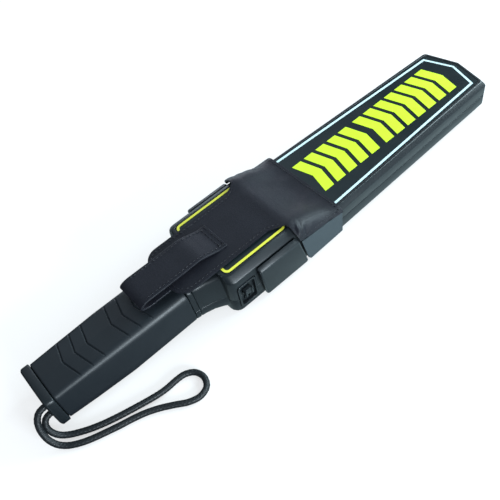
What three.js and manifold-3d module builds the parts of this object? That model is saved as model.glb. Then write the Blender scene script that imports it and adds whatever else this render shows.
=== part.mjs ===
// A hand-held security metal detector: a flat search paddle with its coils, a control housing
// with a slide switch and a push pad, a battery grip with an end cap and a wrist cord, and a
// leather belt holster that slides off over the paddle. Millimetres. X runs along the wand
// from the grip's end to the paddle's tip, Z is up from what the wand lies on.
import * as THREE from "three";
import { mergeVertices } from "three/addons/utils/BufferGeometryUtils.js";
import Module from "manifold-3d";

const wasm = await Module();
wasm.setup();

// Driving dimensions: lengths along the wand, from the cord end to the tip
const CAP_LENGTH = 7;
const GRIP_LENGTH = 103;
const NECK_LENGTH = 23;
const HOUSING_LENGTH = 67;
const PADDLE_LENGTH = 216;

// Driving dimensions: widths and heights
const PADDLE_ROOT_WIDTH = 77.2;
const PADDLE_TIP_WIDTH = 64.2;
const PADDLE_THICKNESS = 23.9;
const PADDLE_LIFT = 2.6;
const PARTING_HEIGHT = 14;
const HOUSING_WIDTH = 72;
const HOUSING_HEIGHT = 38.5;
const PAD_PROUD = 5;
const GRIP_WIDTH = 48;
const GRIP_TOP_WIDTH = 35.6;
const GRIP_HEIGHT = 33.4;
const GRIP_LIFT = 1.4;

// Walls and clearances
const SHELL_WALL = 2.6;
const SIDE_WALL = 4.4;
const SEAT_GAP = 0.3;
const FILM_GAP = 0.05;
const OVERRUN = 30;

// Finish of the paddle's edge
const TOP_BEVEL_RUN = 3.2;
const TOP_BEVEL_RISE = 4.2;
const BOTTOM_BEVEL = 2;
const PARTING_GROOVE = 0.8;
const PARTING_GROOVE_DEPTH = 0.6;
const TIP_RISE = 7.7;
const TIP_RADIUS = 3.5;

// Housing block: rounded rear corners, sloped shoulders, and the ramp down to the paddle
const REAR_RADIUS = 6;
const SHOULDER_DROP = 4.5;
const SHOULDER_RUN = 5.2;
const SHOULDER_RADIUS = 2.4;
const RAMP_LENGTH = 28;
const RAMP_LEAD = 6;
const KEEL_CHAMFER = 2;

// Where the neck's flare meets the housing
const NECK_END_TOP_WIDTH = 50;
const NECK_END_WIDTH = 61;
const NECK_END_DROP = 3.5;
const NECK_END_LIFT = 0.8;
const NECK_RING_DEPTH = 0.5;

// Grip, its bore and the grooves across its top
const GRIP_CROWN = 0.8;
const GRIP_SIDE_RADIUS = 8;
const GRIP_EDGE_RADIUS = 3.6;
const BORE_WIDTH = 31;
const BORE_FLOOR = 5;
const BORE_HEIGHT = 24.4;
const SPIGOT_LENGTH = 12;
const CHEVRON_PITCH = 9.3;
const CHEVRON_HALF_SPAN = 15;
const CHEVRON_SWEEP = 3.7;
const CHEVRON_WIDTH = 1;
const CHEVRON_DEPTH = 0.5;
const CHEVRON_FIRST = 16;
const CHEVRON_GROUP = 3;
const CHEVRON_GROUP_GAP = 18.9;

// End cap and the cord's grommet
const CAP_PROUD = 0.8;
const CAP_SEAM = 0.5;
const CAP_EDGE = 1.2;
const PLUG_LENGTH = 9;
const PLUG_WALL = 2;
const GROMMET_OFFSET = 12.8;
const GROMMET_LOW = 11.8;
const GROMMET_HIGH = 29.2;
const GROMMET_WIDTH = 7;
const GROMMET_DEPTH = 3;
const GROMMET_CORNER = 3.3;

// Wrist cord
const CORD_DIAMETER = 4.5;
const CORD_SIDES = 8;
const CORD_STEPS = 78;

// Label on the paddle, its border line and its row of marks
const LABEL_INSET = 5;
const LABEL_RECESS = 0.9;
const LABEL_THICKNESS = 0.5;
const LABEL_START = 4;
const PRINT_THICKNESS = 0.2;
const BORDER_WIDTH = 1.8;
const BORDER_EDGE_GAP = 6.6;
const BORDER_TIP_EDGE_GAP = 8;
const BORDER_TIP_GAP = 9.6;
const MARK_COUNT = 12;
const MARK_SPAN = 35.4;
const MARK_FILL = 0.71;
const MARK_SWEEP = 4.6;
const MARK_START = 13;
const MARK_TIP_GAP = 37;
const MARK_GROUP = 5;
const MARK_GROUP_GAP = 3.6;

// Panel on the housing, its border, lamps and sound holes
const PANEL_WIDTH = 58.8;
const PANEL_END_MARGIN = 3.2;
const PANEL_FRONT_MARGIN = 2;
const PANEL_CORNER = 3;
const PANEL_BORDER_WIDTH = 1.8;
const PANEL_BORDER_MARGIN = 0.4;
const LAMP_RADIUS = 2.5;
const LAMP_HEIGHT = 4;
const SPEAKER_SHARE = 0.194;
const SPEAKER_HEIGHT = 5.5;
const SPEAKER_RAMP_GAP = 1;
const SOUND_HOLE_RADIUS = 1.2;
const SOUND_RING_RADIUS = 6;
const SOUND_RING_COUNT = 6;

// Side pads: the near one is the push pad, the far one is fixed
const PAD_REAR = 25;
const PAD_REAR_LEAN = 3;
const PAD_FRONT = 2.4;
const PAD_FRONT_LEAN = 7;
const PAD_LOW = 3.6;
const PAD_TOP_DROP = 3.9;
const PAD_TOP_CHAMFER = 3.4;
const PAD_EDGE = 0.8;
const PAD_CORNER = 1.2;
const PAD_TRAVEL = 1.2;
const STEM_RADIUS = 4;
const STEM_FROM_REAR = 44;

// Slide switch and its surround
const SWITCH_FROM_REAR = 12.6;
const BEZEL_WIDTH = 15.6;
const BEZEL_LOW = 5;
const BEZEL_HIGH = 27.4;
const BEZEL_RIM = 1.4;
const BEZEL_RECESS = 2.2;
const BEZEL_PROUD = 0.6;
const BEZEL_CORNER = 2;
const KNOB_LENGTH = 6.6;
const KNOB_HEIGHT = 5.6;
const KNOB_CENTRE_HEIGHT = 17.5;
const KNOB_PROUD = 1.6;
const KNOB_RIDGE = 1.4;
const KNOB_NOTCH_DEPTH = 1.2;
const KNOB_STEM_WIDTH = 2.4;
const SWITCH_TRAVEL = 2;

// Earphone socket below the slide switch
const SOCKET_RADIUS = 3;
const SOCKET_BORE_RADIUS = 1.8;
const SOCKET_HEIGHT = 9.8;
const SOCKET_LENGTH = 5;
const SOCKET_PROUD = 0.7;
const SOCKET_WALL = 1.2;

// Circuit board, its switches, and the screw bosses
const BOARD_MARGIN = 2.6;
const BOARD_THICKNESS = 1.6;
const BOARD_HEIGHT = 11.5;
const SWITCH_BODY_LENGTH = 9;
const SWITCH_BODY_DEPTH = 6;
const SWITCH_BODY_HEIGHT = 9;
const TACT_SIZE = 6;
const TACT_DEPTH = 6;
const TACT_PLUNGER = 1.3;
const REST_FROM_RAMP = 5;
const REST_OFFSET = 20;
const BOSS_RADIUS = 5;
const BOSS_NECK_RADIUS = 3.4;
const SCREW_HEAD_RADIUS = 2.9;
const SCREW_HEAD_HEIGHT = 2;
const SCREW_RADIUS = 1.5;
const SCREW_RISE = 6;
const SCREW_RECESS = 3;
const HOUSING_SCREW_FROM_REAR = 13;
const HOUSING_SCREW_OFFSET = 16;
const ROOT_SCREW_FROM_PADDLE = 22;
const ROOT_SCREW_OFFSET = 24;
const TIP_SCREW_FROM_TIP = 44;
const TIP_SCREW_OFFSET = 8;

// Search coils on their former
const FORMER_HEIGHT = 8.6;
const FORMER_THICKNESS = 2.2;
const FORMER_START = 16;
const FORMER_WINDOW_START = 62;
const FORMER_WINDOW_TIP_GAP = 26;
const FORMER_WINDOW_WIDTH = 22;
const COIL_START = 34;
const COIL_CORNER = 8;
const COIL_HEIGHT = 3;
const COIL_WIDTH = 4;
const COIL_MARGIN = 1.5;
const COIL_SPACING = 10.5;

// Battery, its tray, clip and lead, and the vibrating alarm's motor
const BATTERY_LENGTH = 46.4;
const BATTERY_WIDTH = 26.5;
const BATTERY_HEIGHT = 17.5;
const CLIP_LENGTH = 6;
const TRAY_WALL = 1.6;
const TRAY_HEIGHT = 14;
const MOTOR_RADIUS = 5;
const MOTOR_LENGTH = 12;
const MOTOR_OFFSET = 7;
const LEAD_RADIUS = 1.2;
const LEAD_SIDES = 8;
const LEAD_STEPS = 16;
const LEAD_OFFSET = 8;
const LEAD_RISE = 4;

// Leather holster: a cover over the paddle's root with an elastic band beneath, a tongue
// along the panel, and a strap that loops back over the tongue for a belt
const LEATHER = 1.6;
const BAND_THICKNESS = 1.2;
const HOLSTER_REAR = 7;
const HOLSTER_FRONT = 34;
const HOLSTER_DROP_REAR = 5.2;
const HOLSTER_DROP_FRONT = 0.8;
const HOLSTER_TOP_INSET = 8.2;
const HOLSTER_FRONT_INSET = 3;
const FLAP_REAR = 30;
const FLAP_FRONT = 24;
const TONGUE_WIDTH = 46;
const TONGUE_ROOT_WIDTH = 60;
const TONGUE_FLARE = 14;
const TONGUE_LENGTH = 90;
const TONGUE_RADIUS = 12;
const STRAP_WIDTH = 25;
const STRAP_STITCH = 42;
const STRAP_STITCH_LENGTH = 6;
const STRAP_RISE_RUN = 16;
const STRAP_OVERHANG = 23.2;
const BELT_GAP = 4.6;

// Stations along X and heights that follow from the driving dimensions
const totalLength = CAP_LENGTH + GRIP_LENGTH + NECK_LENGTH + HOUSING_LENGTH + PADDLE_LENGTH;
const xEnd = -totalLength / 2;
const xGrip = xEnd + CAP_LENGTH;
const xNeck = xGrip + GRIP_LENGTH;
const xHousing = xNeck + NECK_LENGTH;
const xPaddle = xHousing + HOUSING_LENGTH;
const xTip = xPaddle + PADDLE_LENGTH;
const xTipCorner = xTip - TIP_RISE;
const xRamp = xPaddle - RAMP_LEAD;
const xRampEnd = xRamp + RAMP_LENGTH;
const xLabel = xRampEnd + LABEL_START;
const paddleTop = PADDLE_LIFT + PADDLE_THICKNESS;
const housingHalf = HOUSING_WIDTH / 2;
const shoulderHeight = HOUSING_HEIGHT - SHOULDER_DROP;
const housingTopHalf = housingHalf - SHOULDER_RUN;
const boreTop = BORE_FLOOR + BORE_HEIGHT;
const boreHalf = BORE_WIDTH / 2;
const boardTop = BOARD_HEIGHT + BOARD_THICKNESS;
const labelFloor = paddleTop - LABEL_RECESS;
const labelTop = labelFloor + FILM_GAP + LABEL_THICKNESS;
const panelFloor = HOUSING_HEIGHT - LABEL_RECESS;
const panelTop = panelFloor + FILM_GAP + LABEL_THICKNESS;
const shellCeiling = labelFloor - SHELL_WALL;
const housingCeiling = panelFloor - SHELL_WALL;
const housingFloor = SHELL_WALL;
const paddleFloor = PADDLE_LIFT + SHELL_WALL;

// Materials
const material = (color, roughness, metalness = 0) =>
  new THREE.MeshStandardMaterial({ color, roughness, metalness });
const blackPlastic = material(0x1c2226, 0.45);
const gripRubber = material(0x1a1f23, 0.6);
const labelFilm = material(0x14201f, 0.35);
const paleInk = material(0xc6e6e2, 0.5);
const limeInk = material(0xd4f01e, 0.5);
const yellowInk = material(0xe6e23c, 0.5);
const leather = material(0x191a20, 0.5);
const elastic = material(0x1d2226, 0.8);
const cordWeave = material(0x23282a, 0.85);
const steel = material(0xb4b8bc, 0.35, 0.9);
const copper = material(0xb26a3a, 0.4, 0.7);
const boardGreen = material(0x1f5b3a, 0.5);
const whitePlastic = material(0xd8d6cc, 0.6);
const batteryCase = material(0x3c4650, 0.4, 0.4);
const lampColours = [0x38c24a, 0xe0a020, 0xd83028];

const CORNER_STEPS = 4;

// An outline is a list of [u, v] points, anticlockwise and convex unless it says otherwise.

/** Moves each edge of an outline inwards by its own distance. */
function insetOutline(outline, insets) {
  const lines = outline.map(([u, v], i) => {
    const [nextU, nextV] = outline[(i + 1) % outline.length];
    const length = Math.hypot(nextU - u, nextV - v);
    const normal = [(v - nextV) / length, (nextU - u) / length];
    const inset = Array.isArray(insets) ? insets[i] : insets;
    return { normal, reach: normal[0] * u + normal[1] * v + inset };
  });
  return lines.map(({ normal: [c, d], reach: g }, i) => {
    const { normal: [a, b], reach: f } = lines.at(i - 1);
    const det = a * d - b * c;
    return [(f * d - b * g) / det, (a * g - f * c) / det];
  });
}

/** Rounds each corner with an arc of its own radius; a radius of zero leaves it sharp. */
function rounded(outline, radii, steps) {
  return outline.flatMap((point, i) => {
    const radius = Array.isArray(radii) ? radii[i] : radii;
    if (!radius) return [point];
    const corner = new THREE.Vector2(...point);
    const arms = [outline.at(i - 1), outline[(i + 1) % outline.length]].map((end) =>
      new THREE.Vector2(...end).sub(corner).normalize(),
    );
    const half = Math.acos(arms[0].dot(arms[1])) / 2;
    const centre = arms[0].clone().add(arms[1]).setLength(radius / Math.sin(half)).add(corner);
    const [from, to] = arms.map((arm) =>
      arm.clone().multiplyScalar(radius / Math.tan(half)).add(corner).sub(centre).angle(),
    );
    const sweep = THREE.MathUtils.euclideanModulo(to - from + Math.PI, 2 * Math.PI) - Math.PI;
    return Array.from({ length: steps + 1 }, (_, k) => {
      const angle = from + (sweep * k) / steps;
      return [centre.x + radius * Math.cos(angle), centre.y + radius * Math.sin(angle)];
    });
  });
}

const rectangle = (u0, u1, v0, v1) => [[u0, v0], [u1, v0], [u1, v1], [u0, v1]];

/** Makes a geometry from corner positions and faces, with its faces turned outwards. */
function outwardGeometry(positions, faces) {
  const corner = (i) => new THREE.Vector3(...positions[i]);
  const volume = faces.reduce((sum, [a, b, c]) => sum + corner(a).dot(corner(b).cross(corner(c))), 0);
  const geometry = new THREE.BufferGeometry();
  geometry.setAttribute("position", new THREE.Float32BufferAttribute(positions.flat(), 3));
  geometry.setIndex(faces.flatMap(([a, b, c]) => (volume < 0 ? [a, c, b] : [a, b, c])));
  return geometry;
}

/** A closed skin through rings of [x, y, z] points with equal counts, its ends filled. */
function loft(rings) {
  const count = rings[0].length;
  const last = (rings.length - 1) * count;
  const faces = [];
  for (let start = 0; start < last; start += count)
    for (let i = 0; i < count; i++) {
      const a = start + i;
      const b = start + ((i + 1) % count);
      faces.push([a, b, b + count], [a, b + count, a + count]);
    }
  for (let i = 1; i + 1 < count; i++) faces.push([0, i + 1, i], [last, last + i, last + i + 1]);
  return outwardGeometry(rings.flat(), faces);
}

const shapeOf = (outline) => new THREE.Shape(outline.map((point) => new THREE.Vector2(...point)));

/** A flat plate of any simple outline between two heights. */
function plate(outline, low, high) {
  const geometry = new THREE.ExtrudeGeometry(shapeOf(outline), { depth: high - low, bevelEnabled: false });
  return geometry.translate(0, 0, low);
}

/** A chevron whose point is at x and whose arms sweep away by a given distance. */
const chevron = (x, halfSpan, sweep, width) => [
  [x, 0],
  [x + sweep, -halfSpan],
  [x + sweep + width, -halfSpan],
  [x + width, 0],
  [x + sweep + width, halfSpan],
  [x + sweep, halfSpan],
];

const ringAtX = (x, outline) => outline.map(([y, z]) => [x, y, z]);
const ringAtY = (y, outline) => outline.map(([x, z]) => [x, y, z]);
const ringAtZ = (z, outline) => outline.map(([x, y]) => [x, y, z]);

const alongX = (outline, x0, x1) => loft([ringAtX(x0, outline), ringAtX(x1, outline)]);
const alongY = (outline, y0, y1) => loft([ringAtY(y0, outline), ringAtY(y1, outline)]);
const alongZ = (outline, z0, z1) => loft([ringAtZ(z0, outline), ringAtZ(z1, outline)]);

/** A round bar between two points. */
function rod(from, to, radius, sides = 20) {
  const [start, end] = [new THREE.Vector3(...from), new THREE.Vector3(...to)];
  const axis = end.clone().sub(start);
  const up = new THREE.Vector3(0, 1, 0);
  const turn = new THREE.Quaternion().setFromUnitVectors(up, axis.clone().normalize());
  const centre = start.add(end).multiplyScalar(0.5);
  return new THREE.CylinderGeometry(radius, radius, axis.length(), sides)
    .applyQuaternion(turn)
    .translate(...centre.toArray());
}

/** A tube of a given number of sides along a smooth curve through points. */
function tube(points, radius, sides, steps) {
  const section = new THREE.Shape(
    Array.from({ length: sides }, (_, i) => {
      const angle = (2 * Math.PI * i) / sides;
      return new THREE.Vector2(radius * Math.cos(angle), radius * Math.sin(angle));
    }),
  );
  const extrudePath = new THREE.CatmullRomCurve3(points.map((p) => new THREE.Vector3(...p)));
  return new THREE.ExtrudeGeometry(section, { steps, extrudePath, bevelEnabled: false });
}

/** The solid that a closed geometry bounds; a solid stays as it is. */
function solid(geometry) {
  if (!geometry.isBufferGeometry) return geometry;
  const bare = geometry.clone();
  bare.deleteAttribute("normal");
  bare.deleteAttribute("uv");
  const merged = mergeVertices(bare);
  return new wasm.Manifold(
    new wasm.Mesh({
      numProp: 3,
      vertProperties: merged.attributes.position.array,
      triVerts: new Uint32Array(merged.index.array),
    }),
  );
}

const join = (...geometries) => geometries.map(solid).reduce((whole, piece) => whole.add(piece));
const cut = (whole, ...geometries) => solid(whole).subtract(join(...geometries));

/** The geometry of a solid, with flat faces. */
function geometryOf(body) {
  const { vertProperties, triVerts } = body.getMesh();
  const indexed = new THREE.BufferGeometry();
  indexed.setAttribute("position", new THREE.BufferAttribute(vertProperties, 3));
  indexed.setIndex(new THREE.BufferAttribute(triVerts, 1));
  const flat = indexed.toNonIndexed();
  flat.computeVertexNormals();
  return flat;
}

const wand = new THREE.Group();
const holster = new THREE.Group();
wand.add(holster);

/** Adds a named piece, given as a geometry or a solid, to a group. */
function addPiece(name, shape, finish, group = wand) {
  const geometry = shape.isBufferGeometry ? shape.clone() : geometryOf(shape);
  if (!geometry.getAttribute("normal")) geometry.computeVertexNormals();
  const mesh = new THREE.Mesh(geometry, finish);
  mesh.name = name;
  group.add(mesh);
}

// Paddle outline

const paddleHalfAt = (x) =>
  THREE.MathUtils.mapLinear(x, xPaddle, xTipCorner, PADDLE_ROOT_WIDTH, PADDLE_TIP_WIDTH) / 2;

/** The paddle's outline from a station to the tip, its edges moved in, its root corners round. */
function paddleOutline(start, inset, rootInset = 0, rootRadius = 0) {
  const startHalf = paddleHalfAt(start);
  const tipHalf = PADDLE_TIP_WIDTH / 2;
  const sharp = [
    [start, -startHalf],
    [xTipCorner, -tipHalf],
    [xTip, 0],
    [xTipCorner, tipHalf],
    [start, startHalf],
  ];
  const radii = [rootRadius, TIP_RADIUS, TIP_RADIUS, TIP_RADIUS, rootRadius];
  return rounded(insetOutline(sharp, [inset, inset, inset, inset, rootInset]), radii, CORNER_STEPS);
}

/** The paddle's outer skin, with bevelled edges and a groove where the shells part. */
function paddleSkin() {
  const grooveLow = PARTING_HEIGHT - PARTING_GROOVE / 2;
  const grooveHigh = PARTING_HEIGHT + PARTING_GROOVE / 2;
  const levels = [
    [PADDLE_LIFT, BOTTOM_BEVEL],
    [PADDLE_LIFT + BOTTOM_BEVEL, 0],
    [grooveLow, 0],
    [grooveLow, PARTING_GROOVE_DEPTH],
    [grooveHigh, PARTING_GROOVE_DEPTH],
    [grooveHigh, 0],
    [paddleTop - TOP_BEVEL_RISE, 0],
    [paddleTop, TOP_BEVEL_RUN],
  ];
  return loft(levels.map(([z, inset]) => ringAtZ(z, paddleOutline(xPaddle, inset))));
}

// Housing and neck

/** The housing's cross-section, narrowed by a corner's rounding. */
function housingSection(narrowing, top, shoulder, bottom) {
  const half = housingHalf - narrowing;
  const topHalf = housingTopHalf - narrowing;
  const sharp = [
    [-half + KEEL_CHAMFER, bottom],
    [half - KEEL_CHAMFER, bottom],
    [half, bottom + KEEL_CHAMFER],
    [half, shoulder],
    [topHalf, top],
    [-topHalf, top],
    [-half, shoulder],
    [-half, bottom + KEEL_CHAMFER],
  ];
  const radii = [0, 0, 0, SHOULDER_RADIUS, SHOULDER_RADIUS, SHOULDER_RADIUS, SHOULDER_RADIUS, 0];
  return rounded(sharp, radii, 3);
}

function housingSkin() {
  const cornerSteps = 4;
  const rear = Array.from({ length: cornerSteps + 1 }, (_, k) => {
    const angle = (Math.PI / 2) * (k / cornerSteps);
    const narrowing = REAR_RADIUS * (1 - Math.sin(angle));
    const x = xHousing + REAR_RADIUS * (1 - Math.cos(angle));
    return ringAtX(x, housingSection(narrowing, HOUSING_HEIGHT, shoulderHeight, 0));
  });
  const rampDrop = ((HOUSING_HEIGHT - paddleTop) * RAMP_LEAD) / RAMP_LENGTH;
  const section = (top, bottom) => housingSection(0, top, top - SHOULDER_DROP, bottom);
  const main = loft([
    ...rear,
    ringAtX(xRamp, section(HOUSING_HEIGHT, 0)),
    ringAtX(xPaddle, section(HOUSING_HEIGHT - rampDrop, 0)),
  ]);
  const sunk = PADDLE_LIFT + BOTTOM_BEVEL;
  const ramp = loft([
    ringAtX(xRamp, section(HOUSING_HEIGHT - FILM_GAP, sunk)),
    ringAtX(xRampEnd, section(paddleTop - FILM_GAP, sunk)),
  ]);
  return join(main, ramp);
}

/** A grip-like cross-section: a crowned top, sides that lean out, and a round belly. */
function gripSection(topHalf, bottomHalf, top, bottom, grow = 0) {
  const sharp = [
    [-bottomHalf - grow, bottom - grow],
    [bottomHalf + grow, bottom - grow],
    [topHalf + grow, top + grow],
    [0, top + grow + GRIP_CROWN],
    [-topHalf - grow, top + grow],
  ];
  const radii = [GRIP_SIDE_RADIUS, GRIP_SIDE_RADIUS, GRIP_EDGE_RADIUS, GRIP_EDGE_RADIUS, GRIP_EDGE_RADIUS];
  return rounded(sharp, radii, 5);
}

// Shares of the grip's length, widths and height, and the belly's rise in grip lifts
const gripSwellShares = [
  { along: 0, top: 0.93, bottom: 0.86, height: 0.948, rise: 1.8 },
  { along: 0.2, top: 0.96, bottom: 0.93, height: 0.975, rise: 1.35 },
  { along: 0.48, top: 1, bottom: 1, height: 1, rise: 1 },
  { along: 0.75, top: 1.02, bottom: 0.985, height: 1, rise: 1.1 },
  { along: 1, top: 1.03, bottom: 0.975, height: 1, rise: 1.3 },
];
const swellSection = (share, grow) =>
  gripSection(
    (GRIP_TOP_WIDTH / 2) * share.top,
    (GRIP_WIDTH / 2) * share.bottom,
    GRIP_HEIGHT * share.height,
    GRIP_LIFT * share.rise,
    grow,
  );

/** The grip's top height at a share of its length, without the crown. */
function gripTopAt(along) {
  const after = gripSwellShares.findIndex((share) => share.along >= along);
  const [a, b] = [gripSwellShares[Math.max(after - 1, 0)], gripSwellShares[after]];
  const blend = a === b ? 0 : (along - a.along) / (b.along - a.along);
  return GRIP_HEIGHT * THREE.MathUtils.lerp(a.height, b.height, blend);
}

// Shares of the way from the grip's section to the housing's, along the neck, and its ring groove
const neckFlareShares = [
  { along: 0, flare: 0 },
  { along: 0.15, flare: 0.06 },
  { along: 0.15, flare: 0.06, sunk: NECK_RING_DEPTH },
  { along: 0.18, flare: 0.072, sunk: NECK_RING_DEPTH },
  { along: 0.18, flare: 0.072 },
  { along: 0.3, flare: 0.12 },
  { along: 0.6, flare: 0.36 },
  { along: 0.85, flare: 0.72 },
  { along: 1, flare: 1 },
];

function neckSkin() {
  const start = gripSwellShares.at(-1);
  const mix = (a, b, flare) => THREE.MathUtils.lerp(a, b, flare);
  const rings = neckFlareShares.map(({ along, flare, sunk = 0 }) =>
    ringAtX(
      xNeck + NECK_LENGTH * along,
      gripSection(
        mix((GRIP_TOP_WIDTH / 2) * start.top, NECK_END_TOP_WIDTH / 2, flare),
        mix((GRIP_WIDTH / 2) * start.bottom, NECK_END_WIDTH / 2, flare),
        mix(GRIP_HEIGHT * start.height, HOUSING_HEIGHT - NECK_END_DROP, flare),
        mix(GRIP_LIFT * start.rise, NECK_END_LIFT, flare),
        -sunk,
      ),
    ),
  );
  const [endRing] = rings.slice(-1);
  rings.push(endRing.map(([x, y, z]) => [x + REAR_RADIUS, y, z]));
  return loft(rings);
}

// Where the screws stand: two in the housing, two at the paddle's root and two near the tip
const screwSpots = [
  {
    x: xHousing + HOUSING_SCREW_FROM_REAR,
    y: HOUSING_SCREW_OFFSET,
    base: 0,
    step: BOARD_HEIGHT - SEAT_GAP,
    ceiling: housingCeiling,
  },
  {
    x: xPaddle + ROOT_SCREW_FROM_PADDLE,
    y: ROOT_SCREW_OFFSET,
    base: PADDLE_LIFT,
    step: FORMER_HEIGHT - SEAT_GAP,
    ceiling: shellCeiling,
  },
  {
    x: xTip - TIP_SCREW_FROM_TIP,
    y: TIP_SCREW_OFFSET,
    base: PADDLE_LIFT,
    step: FORMER_HEIGHT - SEAT_GAP,
    ceiling: shellCeiling,
  },
].flatMap((spot) => [{ ...spot, y: -spot.y }, spot]);

// Plain rests for the front of the circuit board
const restSpots = [-REST_OFFSET, REST_OFFSET].map((y) => ({
  x: xRamp - REST_FROM_RAMP,
  y,
  base: 0,
  top: BOARD_HEIGHT - SEAT_GAP,
}));

// Control positions on the housing's sides
const switchX = xHousing + SWITCH_FROM_REAR;
const stemX = xHousing + STEM_FROM_REAR;
const speakerRadius = HOUSING_LENGTH * SPEAKER_SHARE;
const speakerX = xRamp - SPEAKER_RAMP_GAP - speakerRadius;
const bezelFloorY = housingHalf - BEZEL_RECESS;
const cavityHalf = housingHalf - SIDE_WALL;
const boardHalf = cavityHalf - BOARD_MARGIN;
const boardStart = xHousing + SHELL_WALL + BOARD_MARGIN;
const boardEnd = xRamp;
const stemHeight = boardTop + SEAT_GAP + TACT_SIZE / 2;
const lampShares = [0.353, 0.618, 0.882];
const lampSpots = lampShares.map((share) =>
  THREE.MathUtils.lerp(xHousing, speakerX - speakerRadius, share),
);
const soundSpots = [
  [speakerX, 0],
  ...Array.from({ length: SOUND_RING_COUNT }, (_, i) => {
    const angle = (2 * Math.PI * i) / SOUND_RING_COUNT;
    return [speakerX + SOUND_RING_RADIUS * Math.cos(angle), SOUND_RING_RADIUS * Math.sin(angle)];
  }),
];
const bezelOutline = (grow) =>
  rounded(
    rectangle(
      switchX - BEZEL_WIDTH / 2 - grow,
      switchX + BEZEL_WIDTH / 2 + grow,
      BEZEL_LOW - grow,
      BEZEL_HIGH + grow,
    ),
    BEZEL_CORNER,
    3,
  );

const panelOutline = (inset) =>
  rounded(
    rectangle(
      xHousing + PANEL_END_MARGIN + inset,
      xRamp - PANEL_FRONT_MARGIN - inset,
      -PANEL_WIDTH / 2 + inset,
      PANEL_WIDTH / 2 - inset,
    ),
    PANEL_CORNER,
    CORNER_STEPS,
  );

/** Upright bars through the panel: wide ones for the lamps, narrow ones for the sound. */
const panelHoles = [
  ...lampSpots.map((x) =>
    rod([x, 0, housingCeiling - OVERRUN / 2], [x, 0, HOUSING_HEIGHT + OVERRUN], LAMP_RADIUS + SEAT_GAP, 16),
  ),
  ...soundSpots.map(([x, y]) =>
    rod([x, y, housingCeiling - SHELL_WALL], [x, y, HOUSING_HEIGHT + OVERRUN], SOUND_HOLE_RADIUS, 8),
  ),
];

// The two shells are one hollow body, parted at the groove

/** The spigot that the grip slides over, from the neck's end. */
const spigot = () =>
  alongX(
    rectangle(-boreHalf + SEAT_GAP, boreHalf - SEAT_GAP, BORE_FLOOR + SEAT_GAP, boreTop - SEAT_GAP),
    xNeck - SPIGOT_LENGTH,
    xNeck + SHELL_WALL,
  );

/** The hollows: the neck's bore, the housing's room, the ramp's and the paddle's. */
function shellHollows() {
  const neckBore = alongX(
    rectangle(-boreHalf + SHELL_WALL, boreHalf - SHELL_WALL, BORE_FLOOR + SHELL_WALL, boreTop - SHELL_WALL),
    xNeck - SPIGOT_LENGTH - OVERRUN,
    xHousing + REAR_RADIUS,
  );
  const room = (floor, shoulder, ceiling) => [
    [-cavityHalf, floor],
    [cavityHalf, floor],
    [cavityHalf, shoulder],
    [housingTopHalf - SHELL_WALL, ceiling],
    [-housingTopHalf + SHELL_WALL, ceiling],
    [-cavityHalf, shoulder],
  ];
  const mainRoom = room(housingFloor, shoulderHeight - SHELL_WALL, housingCeiling);
  const housingRoom = alongX(mainRoom, xHousing + SHELL_WALL, xRamp);
  const rampRoom = loft([
    ringAtX(xRamp - SHELL_WALL, room(paddleFloor, shoulderHeight - SHELL_WALL, housingCeiling)),
    ringAtX(xRampEnd, room(paddleFloor, shellCeiling - SHELL_WALL, shellCeiling)),
  ]);
  const paddleRoom = alongZ(
    paddleOutline(xPaddle + SHELL_WALL, SHELL_WALL + PARTING_GROOVE_DEPTH),
    paddleFloor,
    shellCeiling,
  );
  return [neckBore, housingRoom, rampRoom, paddleRoom];
}

/** Screw bosses and plain rests that stand inside the shells. */
function shellBosses() {
  const bosses = screwSpots.flatMap(({ x, y, base, step, ceiling }) => [
    rod([x, y, base + SHELL_WALL / 2], [x, y, step], BOSS_RADIUS),
    rod([x, y, base + SHELL_WALL / 2], [x, y, ceiling + SHELL_WALL / 2], BOSS_NECK_RADIUS),
  ]);
  const rests = restSpots.map(({ x, y, base, top }) =>
    rod([x, y, base + SHELL_WALL / 2], [x, y, top], BOSS_NECK_RADIUS, 12),
  );
  return [...bosses, ...rests];
}

/** Everything drilled or sunk into the shells from outside. */
function shellCuts() {
  const screwHoles = screwSpots.flatMap(({ x, y, base }) => [
    rod([x, y, base - OVERRUN], [x, y, base + SCREW_RECESS], SCREW_HEAD_RADIUS + SEAT_GAP, 16),
    rod([x, y, base], [x, y, PARTING_HEIGHT + SCREW_RISE + SEAT_GAP], SCREW_RADIUS + SEAT_GAP, 12),
  ]);
  const labelBed = alongZ(paddleOutline(xLabel, LABEL_INSET), labelFloor, paddleTop + OVERRUN);
  const panelBed = alongZ(panelOutline(0), panelFloor, HOUSING_HEIGHT + OVERRUN);
  const bezelBed = alongY(bezelOutline(SEAT_GAP), -bezelFloorY, -housingHalf - OVERRUN);
  const slotHalf = KNOB_STEM_WIDTH / 2 + SEAT_GAP;
  const inside = -cavityHalf + SIDE_WALL / 2;
  const knobSlot = alongY(
    rectangle(
      switchX - slotHalf - SWITCH_TRAVEL,
      switchX + slotHalf + SWITCH_TRAVEL,
      KNOB_CENTRE_HEIGHT - slotHalf,
      KNOB_CENTRE_HEIGHT + slotHalf,
    ),
    inside,
    -housingHalf,
  );
  const sideHole = (x, z, radius) => rod([x, inside, z], [x, -housingHalf - OVERRUN, z], radius, 16);
  return [
    ...screwHoles,
    labelBed,
    panelBed,
    bezelBed,
    knobSlot,
    sideHole(switchX, SOCKET_HEIGHT, SOCKET_RADIUS + SEAT_GAP),
    sideHole(stemX, stemHeight, STEM_RADIUS + SEAT_GAP),
    ...panelHoles,
  ];
}

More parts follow.
